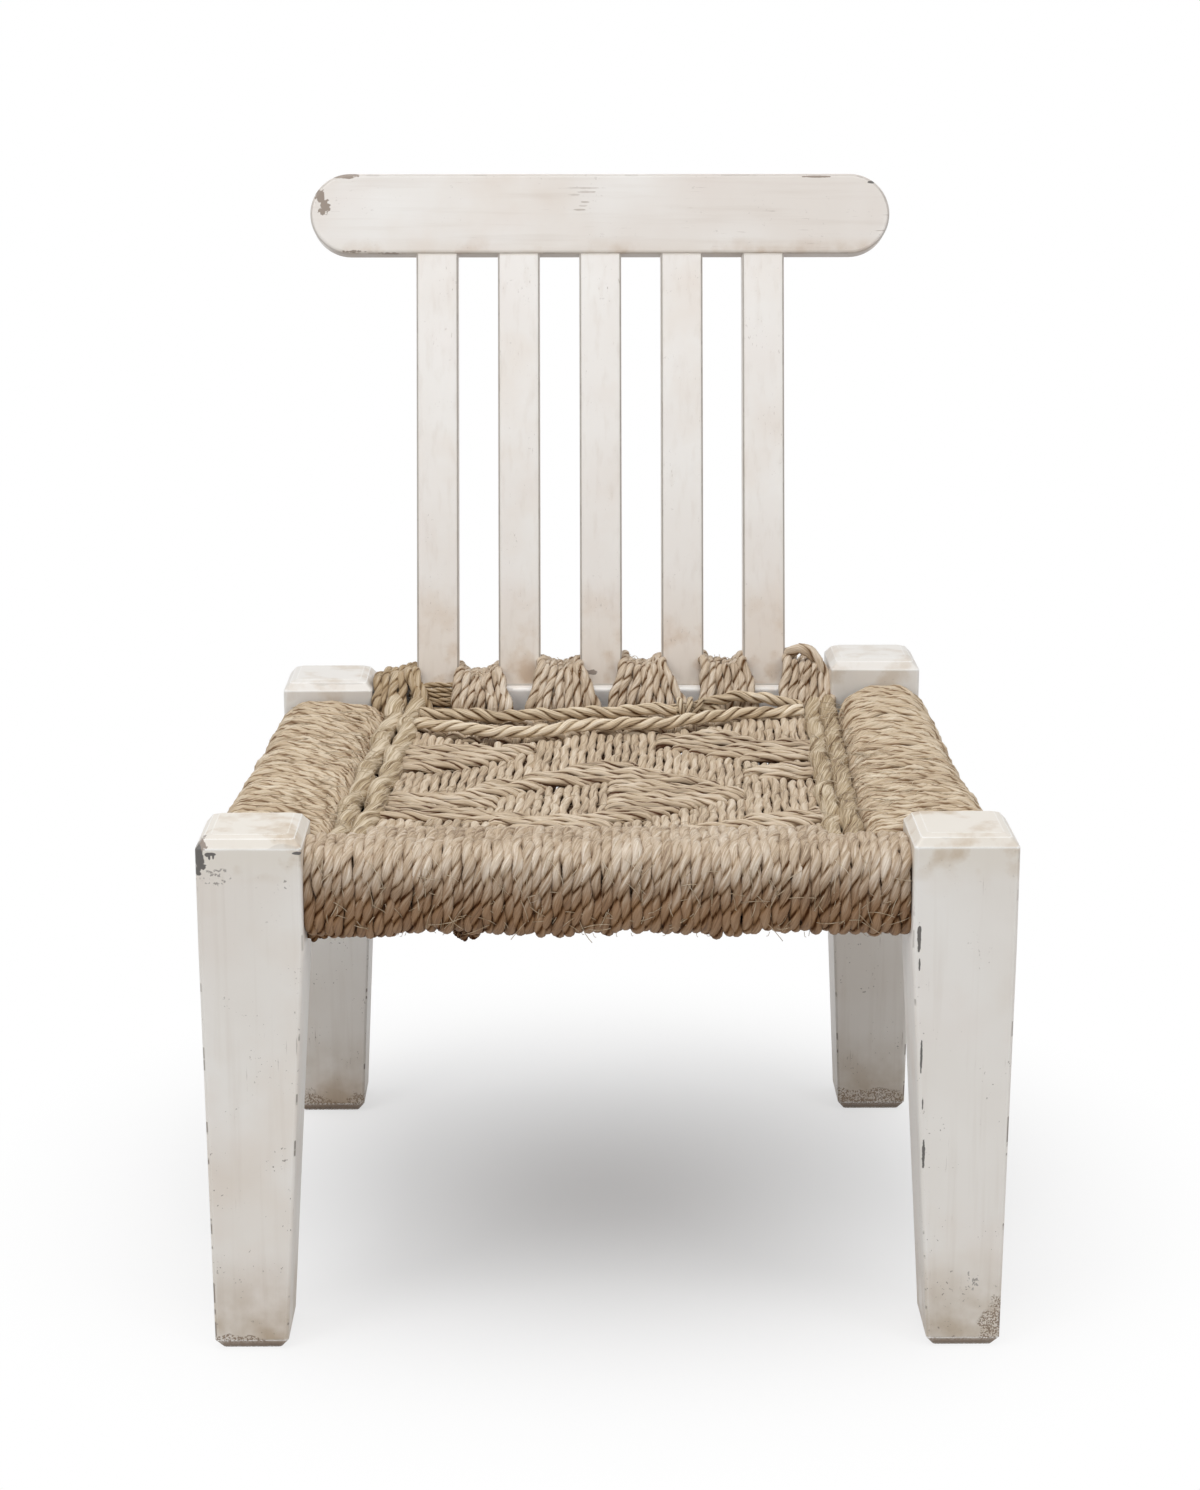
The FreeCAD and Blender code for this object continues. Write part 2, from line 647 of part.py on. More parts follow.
SIDE_TUBES = 3
side_room = size("side_run") / SIDE_TUBES
for word in SIDES:
    for number in range(SIDE_TUBES):
        low = size("front_leg_back") + number * side_room
        side_wrap(f"{word}_rail_wrap_{number + 1}", word, low, low + side_room)


# Rope bands from the rear rail to the rear of the seat, one in each space beside the slats
def rear_section(rise):
    """Section of a band that stands up over the top of the rear rail by its rise."""
    bottom, top = size("rear_rail_base - rope_stand"), size("rear_rail_top + rope_stand")
    nose, nose_top = size("rear_rail_front - rear_nose_reach"), top - size("rear_nose_drop")
    front, back = size("rear_rail_front"), size("rear_rail_back + rope_stand")
    corners = [
        (size("rear_rail_middle"), bottom), (back, bottom), (back, top + rise), (front, top + rise),
        (nose, nose_top), (nose, nose_top - size("nose_depth")), (front - size("rope_stand"), bottom),
    ]

    def section(_along):
        return corners

    return section


slat_edges = [size(f"{step} * slat_pitch") for step in SLAT_STEPS]
half_slat = size("slat_width / 2")
spaces = [(-size("left_band_end"), slat_edges[0] - half_slat)]
spaces += [(left + half_slat, right - half_slat) for left, right in zip(slat_edges, slat_edges[1:])]
spaces.append((slat_edges[-1] + half_slat, size("right_band_end")))
for number, (low, high) in enumerate(spaces, start=1):
    rise = size("rear_band_rise") if number > 1 else 0
    wind(f"rear_rail_wrap_{number}", rear_section(rise), across_place, low, high, [TIGHT_BEND] * 6)


# Edge cords along both sides of the woven panel
def edge_cord(name, word, spacing):
    """Straight cord from the front of the panel to the band at the rear rail."""
    slope, ends = f"{word}_cord_slope", ("panel_front", "panel_back")
    across = [size(f"{word}_cord_front - {spacing} - {slope} * ({end} - panel_front)") for end in ends]
    level = size("cord_level")
    front, back = (Vector(SIDES[word] * reach, size(end), level) for reach, end in zip(across, ends))
    add_tube(name, Part.Wire(Part.makeLine(front, back)), size("cord_radius"))


for word in SIDES:
    edge_cord(f"{word}_outer_edge_cord", word, "0")
    edge_cord(f"{word}_inner_edge_cord", word, f"{word}_cord_spacing")


# Two loose cords that lie across the back of the seat
def cross_cord(name, spots):
    """Lay a cord on the level rest of the panel, through spots given as shares of its size."""
    level = size("panel_top + wrap_gap + rear_cord_diameter / 2")
    left, room = size("left_edge_rear"), size("left_edge_rear + right_edge_rear")
    points = [Vector(across * room - left, size(f"rest_start + {depth} * panel_rest_run"), level)
              for across, depth in spots]
    bends = []
    for before, corner, after in zip(points, points[1:], points[2:]):
        turn = (corner - before).getAngle(after - corner)
        shorter = min(before.distanceToPoint(corner), corner.distanceToPoint(after))
        bends.append(CORD_BEND_SHARE * shorter / math.tan(turn / 2))
    print(f"{name}: bend radii", [round(bend) for bend in bends])
    add_tube(name, rounded_run(points, bends), size("rear_cord_diameter / 2"))


# Shares of the panel's width and of its level rest, from left to right
FRONT_CORD_SHARES = [
    (0.007, 0.386), (0.078, 0.243), (0.196, 0.062), (0.323, 0.129), (0.444, 0.329),
    (0.578, 0.348), (0.706, 0.462), (0.839, 0.71), (0.988, 0.776),
]
BACK_CORD_SHARES = [
    (0.007, 0.662), (0.081, 0.748), (0.196, 0.548), (0.31, 0.605), (0.438, 0.748),
    (0.578, 0.776), (0.686, 0.814), (0.827, 0.929), (0.988, 0.919),
]
cross_cord("front_cross_cord", FRONT_CORD_SHARES)
cross_cord("back_cross_cord", BACK_CORD_SHARES)


# Woven panel and rope-end knots
def draw_dip(sketch, start, end, dip, radius):
    """Draw an arc that hangs between the ends of two lines, given as (item, point) pairs."""
    left, right = (sketch.getPoint(*ending) for ending in (start, end))
    half, curve = (right.x - left.x) / 2, size(radius)
    centre = Vector((left.x + right.x) / 2, left.y - size(dip) + curve, 0)
    swing = math.asin(half / curve)
    lowest = -math.pi / 2
    circle = Part.Circle(centre, Vector(0, 0, 1), curve)
    item = sketch.addGeometry(Part.ArcOfCircle(circle, lowest - swing, lowest + swing))
    sketch.addConstraint(Sketcher.Constraint("Coincident", item, 1, *start))
    sketch.addConstraint(Sketcher.Constraint("Coincident", item, 2, *end))
    number = sketch.addConstraint(Sketcher.Constraint("Radius", item, curve))
    bind(sketch, f"Constraints[{number}]", radius)


def make_panel(name):
    """Woven seat: a dished sheet with a lip up to the front rail and a level rest at the rear."""
    body = new_body(name)
    sketch = new_sketch(body, f"{name}_side_view", "YZ_Plane", "-(panel_stock)")
    under = "panel_top - panel_thickness"
    front_under, front_lip = ("panel_front", under), ("panel_front", "panel_top + panel_lip_rise")
    dish_top, dish_under = ("lip_end", "panel_top"), ("lip_end", under)
    rest_top, rest_under = ("rest_start", "panel_top"), ("rest_start", under)
    back_top, back_under = ("panel_back", "panel_top"), ("panel_back", under)
    lines = [draw_line(sketch, *ends) for ends in (
        (front_under, front_lip), (front_lip, dish_top), (rest_top, back_top),
        (back_top, back_under), (back_under, rest_under), (dish_under, front_under))]
    draw_dip(sketch, (lines[1], 2), (lines[2], 1), "panel_sag", "dish_radius")
    draw_dip(sketch, (lines[5], 1), (lines[4], 2), "panel_sag", "dish_radius")
    add_feature(body, "Pad", sketch, "2 * panel_stock", 1)
    for word, side in SIDES.items():
        start, end = "panel_front - cut_over", "panel_back + cut_over"
        edge = [f"{word}_edge_front - {word}_cord_slope * ({place} - panel_front)"
                for place in (start, end)]
        beyond = f"{side} * (panel_stock + cut_over)"
        prism(body, "Pocket", f"{name}_{word}_edge", "XY_Plane", f"{under} - panel_sag - cut_over",
              "panel_thickness + panel_sag + panel_lip_rise + 2 * cut_over",
              [[(f"{side} * ({edge[0]})", start), (beyond, start), (beyond, end),
                (f"{side} * ({edge[1]})", end)]])
    return body


def add_knot(name, across):
    """Small round knot that hangs under the rope of the front rail."""
    knot = doc.addObject("Part::Ellipsoid", name)
    knot.Label = name
    bind(knot, "Radius1", "knot_height / 2")
    bind(knot, "Radius2", "knot_width / 2")
    bind(knot, "Radius3", "knot_depth / 2")
    bind(knot, "Placement.Base.x", across)
    bind(knot, "Placement.Base.y", "rail_setback + rail_round - mid_depth")
    bind(knot, "Placement.Base.z", "rail_base - rope_stand - rope_radius - wrap_gap - knot_height / 2")


make_panel("woven_panel")
add_knot("middle_rope_knot", "-knot_place")
add_knot("left_rope_knot", "knot_width - front_span")


# Check every object, then write one file for each piece
doc.recompute()
failed = [item.Name for item in doc.Objects if {"Invalid", "Error"} & set(item.State)]
if failed:
    raise ValueError(f"failed objects: {failed}")
PIECE_KINDS = ("PartDesign::Body", "Part::Feature", "Part::Ellipsoid")
pieces = [item for item in doc.Objects if item.TypeId in PIECE_KINDS]
for piece in pieces:
    if piece.Shape.isNull() or not piece.Shape.isValid():
        raise ValueError(f"{piece.Label} has no valid shape")
os.makedirs("parts", exist_ok=True)
for piece in pieces:
    piece.Shape.exportStep(f"parts/{piece.Label}.step")
print(f"{len(pieces)} pieces written")
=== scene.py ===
# %% [markdown]
# # A rope-seated lounge chair
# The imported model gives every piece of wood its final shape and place, so the wood stays as it
# is and only gets paint. The rope is different: in the model it is plain round tube, and here
# every length is laid again as real twisted rope. All the work is in metres in the chair's own
# frame, with X across the chair, the front towards -Y and Z up.

# %% Load the frame
import json
import math

import bpy
import numpy as np
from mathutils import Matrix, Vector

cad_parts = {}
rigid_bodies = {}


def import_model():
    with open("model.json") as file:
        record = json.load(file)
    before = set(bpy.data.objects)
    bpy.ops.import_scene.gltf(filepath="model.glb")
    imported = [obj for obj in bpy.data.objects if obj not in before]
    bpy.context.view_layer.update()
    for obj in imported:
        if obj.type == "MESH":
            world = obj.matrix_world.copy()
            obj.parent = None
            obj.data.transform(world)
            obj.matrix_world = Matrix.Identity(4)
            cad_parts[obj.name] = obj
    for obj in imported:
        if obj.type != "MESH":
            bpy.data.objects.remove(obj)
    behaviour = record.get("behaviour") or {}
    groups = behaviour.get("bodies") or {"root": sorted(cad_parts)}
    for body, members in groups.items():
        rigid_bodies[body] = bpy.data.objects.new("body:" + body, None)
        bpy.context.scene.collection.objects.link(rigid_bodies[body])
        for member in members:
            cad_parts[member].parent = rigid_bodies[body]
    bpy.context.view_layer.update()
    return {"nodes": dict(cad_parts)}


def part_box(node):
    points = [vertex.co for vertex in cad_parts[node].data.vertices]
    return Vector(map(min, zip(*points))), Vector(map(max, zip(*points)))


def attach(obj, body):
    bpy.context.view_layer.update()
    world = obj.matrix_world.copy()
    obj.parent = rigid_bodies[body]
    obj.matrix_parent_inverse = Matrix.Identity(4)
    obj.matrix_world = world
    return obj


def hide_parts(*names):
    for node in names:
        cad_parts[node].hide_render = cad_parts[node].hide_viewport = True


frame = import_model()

MM = 0.001
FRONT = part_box("front_left_leg")[0][1]

# %% [markdown]
# ## Camera
# A low chair is photographed with a long lens from a little above the seat, so its upright lines
# stay nearly parallel. The lens and the place follow from the outline of the chair.

# %% Place the camera
# The sensor is in millimetres. The focal length and the picture's height are in pixels.
SENSOR, FOCAL_LENGTH, PICTURE_HEIGHT = 36, 3000, 1490
for thing in bpy.data.objects:
    thing.select_set(False)
bpy.ops.object.camera_add(location=(-0.024, FRONT - 1.954, 0.934),
                          rotation=(math.radians(75.88), 0, math.radians(-0.54)))
camera = bpy.context.object
camera.name = "studio_camera"
camera.data.sensor_width = SENSOR
camera.data.lens = SENSOR * FOCAL_LENGTH / PICTURE_HEIGHT
camera.data.clip_start = 0.05
bpy.context.scene.camera = camera
print("lens", round(camera.data.lens, 1), "mm")

# %% [markdown]
# ## Colours and nodes
# A hex colour says what a screen shows, but Blender counts light, so one function turns the first
# into the second. A material is a tree of nodes. One more function adds a node with its settings
# and what feeds it, so that each tree below reads like a recipe.


# %% Turn colours into light, and add nodes
def shade(code):
    """Linear RGBA of an sRGB hex colour."""
    parts = [int(code[i:i + 2], 16) / 255 for i in (1, 3, 5)]
    linear = [p / 12.92 if p <= 0.04045 else ((p + 0.055) / 1.055) ** 2.4 for p in parts]
    return (*linear, 1.0)


def add(tree, kind, inputs=(), **settings):
    """Add one shader node with its settings. Its inputs are given by name or number, or else in
    order, each as a value or as what feeds it. A node stands for its own first output."""
    node = tree.nodes.new("ShaderNode" + kind)
    for name, value in settings.items():
        setattr(node, name, value)
    for socket, source in inputs.items() if isinstance(inputs, dict) else enumerate(inputs):
        if isinstance(source, bpy.types.Node):
            source = source.outputs[0]
        if isinstance(source, bpy.types.NodeSocket):
            tree.links.new(source, node.inputs[socket])
        else:
            node.inputs[socket].default_value = source
    return node


print("white paint is", [round(c, 3) for c in shade("#E4DFDB")])

# %% [markdown]
# ## Lamps
# A white chair on white shows its shape only through soft shade, so one wide lamp hangs overhead
# and two weaker ones stand in front. The world adds an even fill, and is plain white to the
# camera alone, which keeps the backdrop from lighting the chair.

# %% Light the studio
def looked_at(tree):
    """1 where the camera sees a thing, on its own, in a gloss or through glass, and else 0."""
    path = add(tree, "LightPath").outputs
    seen = add(tree, "Math", (path["Is Camera Ray"], path["Is Glossy Ray"]), operation="MAXIMUM")
    return add(tree, "Math", (seen, path["Is Transmission Ray"]), operation="MAXIMUM")


bpy.context.scene.view_settings.view_transform = "Standard"
world = bpy.data.worlds.new("studio_air")
bpy.context.scene.world = world
world.use_nodes = True
air = world.node_tree
air.nodes.clear()
fill = add(air, "Background", (shade("#F7F8FA"), 0.46))
backdrop = add(air, "Background", ((1, 1, 1, 1), 1.0))
seen = add(air, "MixShader", (looked_at(air), fill, backdrop))
add(air, "OutputWorld", (seen,))

# Each lamp: its place, its turn in degrees, its width in metres and its power in watts.
LAMPS = {
    "overhead_softbox": ((-0.2, -0.35, 2.3), (9, -5, 0), 1.5, 21),
    "left_softbox": ((-1.9, -1.9, 2.1), (54, 0, -45), 1.2, 16),
    "right_softbox": ((2.0, -1.9, 1.9), (58, 0, 46), 1.2, 12),
}
for name, (place, turn, width, power) in LAMPS.items():
    bpy.ops.object.light_add(type="AREA", location=place,
                             rotation=[math.radians(angle) for angle in turn])
    lamp = bpy.context.object
    lamp.name = name
    lamp.data.size = width
    lamp.data.energy = power
print(len(LAMPS), "lamps")

# %% [markdown]
# ## Floor
# The floor is a matte white sheet. A plane is enough, because only its shadow is seen. Towards
# the edges it turns to pure white, as a studio sweep does, but only for the camera, so that it
# throws no extra light on the chair.

# %% Lay the floor
def new_material(name):
    """A material whose node tree is still empty, and that tree."""
    material = bpy.data.materials.new(name)
    material.use_nodes = True
    material.node_tree.nodes.clear()
    return material, material.node_tree


FLOOR_SIZE = 12
bpy.ops.object.select_all(action="DESELECT")
bpy.ops.mesh.primitive_plane_add(size=FLOOR_SIZE, location=(0, 0, 0))
floor = bpy.context.object
floor.name = "studio_floor"
vinyl, tree = new_material("matte_white_vinyl")
sheet = add(tree, "BsdfPrincipled", {"Base Color": shade("#F4F4F4"), "Roughness": 0.8})
glow = add(tree, "Emission", ((1, 1, 1, 1), 1.0))
place = add(tree, "TexCoord").outputs["Object"]
away = add(tree, "VectorMath", (place,), operation="LENGTH").outputs["Value"]
# In the shadow under the chair the sheet shows as it is, and 0.55 m out it is all white.
white = add(tree, "MapRange", (away, 0.0, 0.55, 0.22, 1.0), interpolation_type="SMOOTHSTEP")
share = add(tree, "Math", (white, looked_at(tree)), operation="MULTIPLY")
both = add(tree, "MixShader", (share, sheet, glow))
add(tree, "OutputMaterial", (both,))
floor.data.materials.append(vinyl)
print("floor laid")

# %% [markdown]
# ## Jute
# Jute rope is spun from long pale fibres, so its colour runs in fine streaks along each yarn,
# with painted shade down in the grooves. Every rope below carries a UV map whose U follows one
# yarn round the rope and whose V runs along it in metres, and two numbers on each point: how
# far it is out of the painted shade of the grooves and of its hidden side, and a tone of its own.
# The material reads these.

# %% Make the jute material
# Where a painted highlight lies along the seat's front edge, and from what height down the
# rope is darker and redder, as painted shade and browner jute.
HIGHLIGHT_SPOT = (0, FRONT + 6 * MM, 0.35)
SHADE_FROM, SHADE_FULL = 0.389, 0.351


def make_jute(name, light, middle, dark, gloss, streaks=((26, 75), (11, 42)), shade_and_highlight=0.0, fibre=1.0):
    """Natural jute: streaked fibres, painted shade in the grooves, faint sheen. streaks counts them
    round the rope and per metre along it, and fibre says how strongly they show. The number
    after streaks, when it is not 0, gives a painted highlight along the front shoulder and, as
    strongly as it says, makes the rope darker and redder below it, as painted shade and browner
    jute."""
    jute, tree = new_material(name)
    uv = add(tree, "UVMap", uv_map="rope")
    out_of_shade = add(tree, "Attribute", attribute_name="out_of_shade").outputs["Fac"]
    tint = add(tree, "Attribute", attribute_name="tint").outputs["Fac"]
    place = add(tree, "TexCoord").outputs["Object"]
    shift = add(tree, "CombineXYZ", {"Z": tint})
    longer = add(tree, "VectorMath", {0: shift, "Scale": 40.0}, operation="SCALE")
    layers = []
    for (across, along), roughness in zip(streaks, (0.7, 0.5)):
        spread = add(tree, "Mapping", {"Vector": uv, "Scale": (across, along, 1)})
        moved = add(tree, "VectorMath", (spread, longer))
        layers.append(add(tree, "TexNoise", {"Vector": moved, "Scale": 1.0, "Detail": 2.0,
                                             "Roughness": roughness}))
    fine, coarse = layers
    patch = add(tree, "TexNoise", {"Vector": place, "Scale": 28.0, "Detail": 2.0})
    # What makes a spot paler or darker: where each starts and is full, and its least and most.
    # The first is painted shade, in the grooves and on the rope's hidden side.
    parts = [
        (out_of_shade, 0.0, 0.62, 0.0, 0.56),
        (fine, 0.3, 0.7, -0.22 * fibre, 0.20 * fibre),
        (coarse, 0.3, 0.7, -0.18, 0.12),
        (tint, 0.0, 1.0, -0.09, 0.09),
        (patch, 0.3, 0.7, -0.12, 0.09),
    ]
    if shade_and_highlight:
        # A painted highlight along the front shoulder of the rail.
        across_rail = add(tree, "VectorMath", (place, (0, 1, 1)), operation="MULTIPLY")
        highlight_distance = add(tree, "VectorMath", (across_rail, HIGHLIGHT_SPOT), operation="DISTANCE")
        parts.append((highlight_distance.outputs["Value"], 0.003, 0.013, 0.15, 0.0))
    total = 0.06
    for part in parts:
        total = add(tree, "Math", (total, add(tree, "MapRange", part)))
    ramp = add(tree, "ValToRGB", (total,))
    stops = ramp.color_ramp.elements
    stops[0].color, stops[1].color = shade(dark), shade(light)
    stops.new(0.5).color = shade(middle)
    # Darker and redder towards the bottom, as painted shade and browner jute, with a ragged upper edge.
    above_floor = add(tree, "SeparateXYZ", (place,)).outputs["Z"]
    uneven = add(tree, "Math", (coarse, 0.05, above_floor), operation="MULTIPLY_ADD")
    low_shade = add(tree, "MapRange", (uneven, SHADE_FROM, SHADE_FULL, 0.0, shade_and_highlight))
    colour = add(tree, "Mix", {0: low_shade, 6: ramp, 7: shade("#B49A80")}, data_type="RGBA",
                 blend_type="MULTIPLY")
    bump = add(tree, "Bump", {"Height": fine, "Strength": 0.7, "Distance": 0.0005})
    gleam = add(tree, "MapRange", (out_of_shade, 0.25, 0.8, 0.0, 0.45))
    surface = add(tree, "BsdfPrincipled", {
        "Base Color": colour.outputs[2], "Roughness": gloss, "Normal": bump,
        "Sheen Weight": 0.05, "Sheen Roughness": 0.5, "Specular IOR Level": gleam})
    add(tree, "OutputMaterial", (surface,))
    return jute


# This is where the painted highlight lies.
print("the seat's front edge is rubbed at", [round(place, 3) for place in HIGHLIGHT_SPOT])

# %% Mix six kinds of jute
DULL_STREAKS = ((24, 40), (10, 22))
# Wound, matte wound and dusty jute are darker and redder towards the bottom, as painted shade and browner
# jute.
jute_wound = make_jute("wound_jute", "#ECE1D2", "#C3AE94", "#5C3E24", 0.5, shade_and_highlight=1.0)
jute_band = make_jute("matte_wound_jute", "#EEE2CE", "#CAB598", "#846B53", 0.65, DULL_STREAKS, 1.0)
jute_woven = make_jute("woven_jute", "#EBDDCA", "#C2AD91", "#55392A", 0.6, ((22, 40), (10, 20)))
jute_cord = make_jute("thick_jute_cord", "#FAEEDA", "#CDB899", "#5A4029", 0.6,
                      ((30, 34), (13, 20)), fibre=1.2)
jute_dusty = make_jute("dusty_jute", "#D9C8AE", "#A8906F", "#5A4430", 0.75, DULL_STREAKS, 1.0)
jute_hairy = make_jute("hairy_jute_cord", "#DCCDB5", "#AE9979", "#5A4029", 0.8,
                       ((34, 30), (15, 18)), fibre=2.0)
print("six jute materials")

# %% [markdown]
# ## Laying rope
# A rope is two or three yarns twisted together. Its outline is two or three round lobes, and
# the outline turns as it moves along. Each ring of points below is turned by exactly one point
# from the last, so the mesh edges run along the yarns and the grooves stay sharp.


# %% Walk along a line
def even_points(line, step):
    """Points at even steps along a line of points, and how far along each one is."""
    line = np.asarray(line, float)
    runs = np.linalg.norm(np.diff(line, axis=0), axis=1)
    along = np.concatenate([[0], np.cumsum(runs)])
    count = max(4, int(round(along[-1] / step)) + 1)
    wanted = np.linspace(0, along[-1], count)
    return np.stack([np.interp(wanted, along, line[:, axis]) for axis in range(3)], axis=1), wanted


def carried_frames(points):
    """Two directions across the line at each point, carried along it without twist."""
    ways = np.gradient(points, axis=0)
    ways /= np.linalg.norm(ways, axis=1, keepdims=True)
    last = np.array([0, 0, 1.0]) if abs(ways[0][2]) < 0.8 else np.array([0, 1.0, 0])
    side = np.empty_like(points)
    for index, way in enumerate(ways):
        last = last - way * np.dot(last, way)
        last /= np.linalg.norm(last)
        side[index] = last
    return side, np.cross(ways, side)


print("a line of 100 mm gets", len(even_points([(0, 0, 0), (0, 0.1, 0)], 3 * MM)[1]), "points 3 mm apart")

# %% Lay one rope along a line
chance = np.random.RandomState(7)
between = chance.uniform


def lay_rope(line, radius, lay=27, plies=3, hand=1, depth=0.36, wander=0.3, slant=0.5, steps=4,
             core=None, under_shade=0.9, swollen=0.0):
    """The skin of one twisted rope: radius, lay and wander, how far it strays, are in mm. hand is
    1 for a right-handed rope and -1 for a left-handed one, depth is how deep the grooves are as a
    share of the radius, and slant is how far the fibres lean from the yarn towards the rope's own
    direction. The skin gets painted shade in its grooves. core gives the points that the rope is
    wound about: painted shade also falls where its skin faces them, or faces down if there are
    none, as strongly as the number after core says. swollen makes its first 20 mm thicker by that
    share."""
    radius, lay, wander = radius * MM, lay * MM, wander * MM
    columns = plies * steps
    height = np.tile(np.sin(np.arange(steps) * math.pi / steps) ** 0.8, plies)
    lobes = 1 - depth * (1 - height)
    points, along = even_points(line, lay / columns)
    side, other = carried_frames(points)
    rings = len(points)
    # The rope strays and swells in slow waves, so many radians to the metre.
    waves = sum(np.sin(along[:, None] * rate + between(0, 6.28, 2)) for rate in (55, 130, 260))
    points = points + (side * waves[:, :1] + other * waves[:, 1:]) * wander / 2
    phase = between(0, 6.28)
    swell = 1 + 0.03 * np.sin(along * 210 + phase) + 0.03 * np.sin(along * 97 + 2 * phase)
    swell = swell + swollen * np.exp(-(along / (20 * MM)) ** 2)
    column, ring = np.arange(columns), np.arange(rings)[:, None]
    turn = (phase + (column + hand * ring) * 2 * math.pi / columns)[:, :, None]
    out = (radius * lobes * swell[:, None])[:, :, None]
    skin = points[:, None] + side[:, None] * (out * np.cos(turn)) + other[:, None] * (out * np.sin(turn))
    away = np.array([0, 0, 1.0]) if core is None else points - core(points)
    away = away / np.linalg.norm(away, axis=-1, keepdims=True)
    facing = np.einsum("rcx,rx->rc", skin - points[:, None], np.broadcast_to(away, points.shape))
    # Painted shade: the skin is darker where it faces the core, or faces down.
    unshaded = np.clip(1 - under_shade * (0.42 - facing / radius), 0.12, 1)
    return {"skin": skin, "middle": points, "along": along, "out_of_shade": height[None, :] * unshaded,
            "lean": slant * hand * ring[:, 0] / columns, "tint": between(0, 1)}


print("yarns go once round in", lay_rope.__defaults__[0], "mm unless told otherwise")


# %% Painted shade and wear on a rope
def shade_low_parts(rope, level):
    """Paint shade on a woven strand where it dives under its neighbours, level being the height of
    the weave's middle at each depth in mm."""
    depths = (rope["middle"][:, 1] - FRONT) / MM
    rise = rope["middle"][:, 2] / MM - np.array([level(y) for y in depths])
    rope["out_of_shade"] = rope["out_of_shade"] * np.clip(0.45 + 0.16 * rise, 0.12, 1)[:, None]
    return rope


def rub_top(rope):
    """Over the top of the rail, where legs rub the rope and broken fibres fill the grooves, paint
    less shade in the grooves and dim the tops of the yarns: most at 366.5 mm above the floor, and
    not at all 14 mm lower."""
    dark = np.clip((0.3665 - rope["middle"][:, 2]) / 0.014, 0.3, 1)[:, None]
    rope["out_of_shade"] = np.minimum(1 - (1 - rope["out_of_shade"]) * dark, 0.38 + 0.62 * dark)
    return rope


# Painted shade goes on the ropes, and is evened out where their tops are rubbed.
print("ropes can be shaded and rubbed")

# %% [markdown]
# ## From ropes to a mesh
# Hundreds of ropes would be slow as objects of their own, so all the ropes of one wrap become one
# mesh. Each rope's rings are joined by four-sided faces and both ends are closed by a fan, so the
# mesh has an inside and an outside.

# %% Join ropes into one piece
def rope_piece(name, ropes, material, *replaced, slot="jute_rope"):
    """One mesh of many ropes, each closed at both ends, riding on the chair."""
    spots, loops, starts, uvs, out_of_shade_values, tints = [], [], [], [], [], []
    base = corner = 0
    for rope in ropes:
        rings, columns = rope["skin"].shape[:2]
        spots += [rope["skin"].reshape(-1, 3), rope["middle"][[0, -1]]]
        out_of_shade_values += [rope["out_of_shade"].ravel(), [0.5, 0.5]]
        tints.append(np.full(rings * columns + 2, rope["tint"]))
        ring, column = np.meshgrid(np.arange(rings - 1), np.arange(columns), indexing="ij")
        ring, column = ring.ravel(), column.ravel()
        after = (column + 1) % columns
        quads = np.stack([ring * columns + column, ring * columns + after,
                          (ring + 1) * columns + after, (ring + 1) * columns + column], axis=1)
        loops.append(base + quads.ravel())
        starts.append(corner + 4 * np.arange(len(quads)))
        u = np.stack([column, column + 1, column + 1, column], axis=1) / columns
        along = np.stack([ring, ring, ring + 1, ring + 1], axis=1)
        u, v = u + rope["lean"][along], rope["along"][along]
        uvs.append(np.stack([u.ravel(), v.ravel()], axis=1))
        corner += 4 * len(quads)
        for end, first in ((rings * columns, 0), (rings * columns + 1, (rings - 1) * columns)):
            here, then = first + np.arange(columns), first + (np.arange(columns) + 1) % columns
            hub = np.full(columns, end)
            fan = [hub, then, here] if first == 0 else [hub, here, then]
            loops.append(base + np.stack(fan, axis=1).ravel())
            starts.append(corner + 3 * np.arange(columns))
            uvs.append(np.full((3 * columns, 2), 0.5))
            corner += 3 * columns
        base += rings * columns + 2
    mesh = bpy.data.meshes.new(name)
    spots, loops, starts, uvs = map(np.concatenate, (spots, loops, starts, uvs))
    mesh.vertices.add(len(spots))
    mesh.vertices.foreach_set("co", spots.ravel())
    mesh.loops.add(len(loops))
    mesh.loops.foreach_set("vertex_index", loops.astype(np.int32))
    mesh.polygons.add(len(starts))
    mesh.polygons.foreach_set("loop_start", starts.astype(np.int32))
    mesh.update(calc_edges=True)
    mesh.uv_layers.new(name="rope").data.foreach_set("uv", uvs.ravel())
    # How far each point is out of the painted shade, and each rope's tone, go to the material.
    for label, values in (("out_of_shade", out_of_shade_values), ("tint", tints)):
        mesh.attributes.new(label, "FLOAT", "POINT").data.foreach_set("value", np.concatenate(values))
    mesh.shade_smooth()
    mesh.materials.append(material)
    piece = bpy.data.objects.new(name, mesh)
    bpy.context.collection.objects.link(piece)
    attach(piece, "root")
    if replaced:
        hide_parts(*replaced)
    triangles = len(loops) - 2 * len(starts)
    print(f"{name}: {len(ropes)} ropes, {triangles} triangles")


print("ropes can be joined")


# %% Places and bends in millimetres
def chair(points):
    """Metres in the chair's frame of points in mm from the front of the front legs."""
    points = np.asarray(points, float) * MM
    points[..., 1] += FRONT
    return points


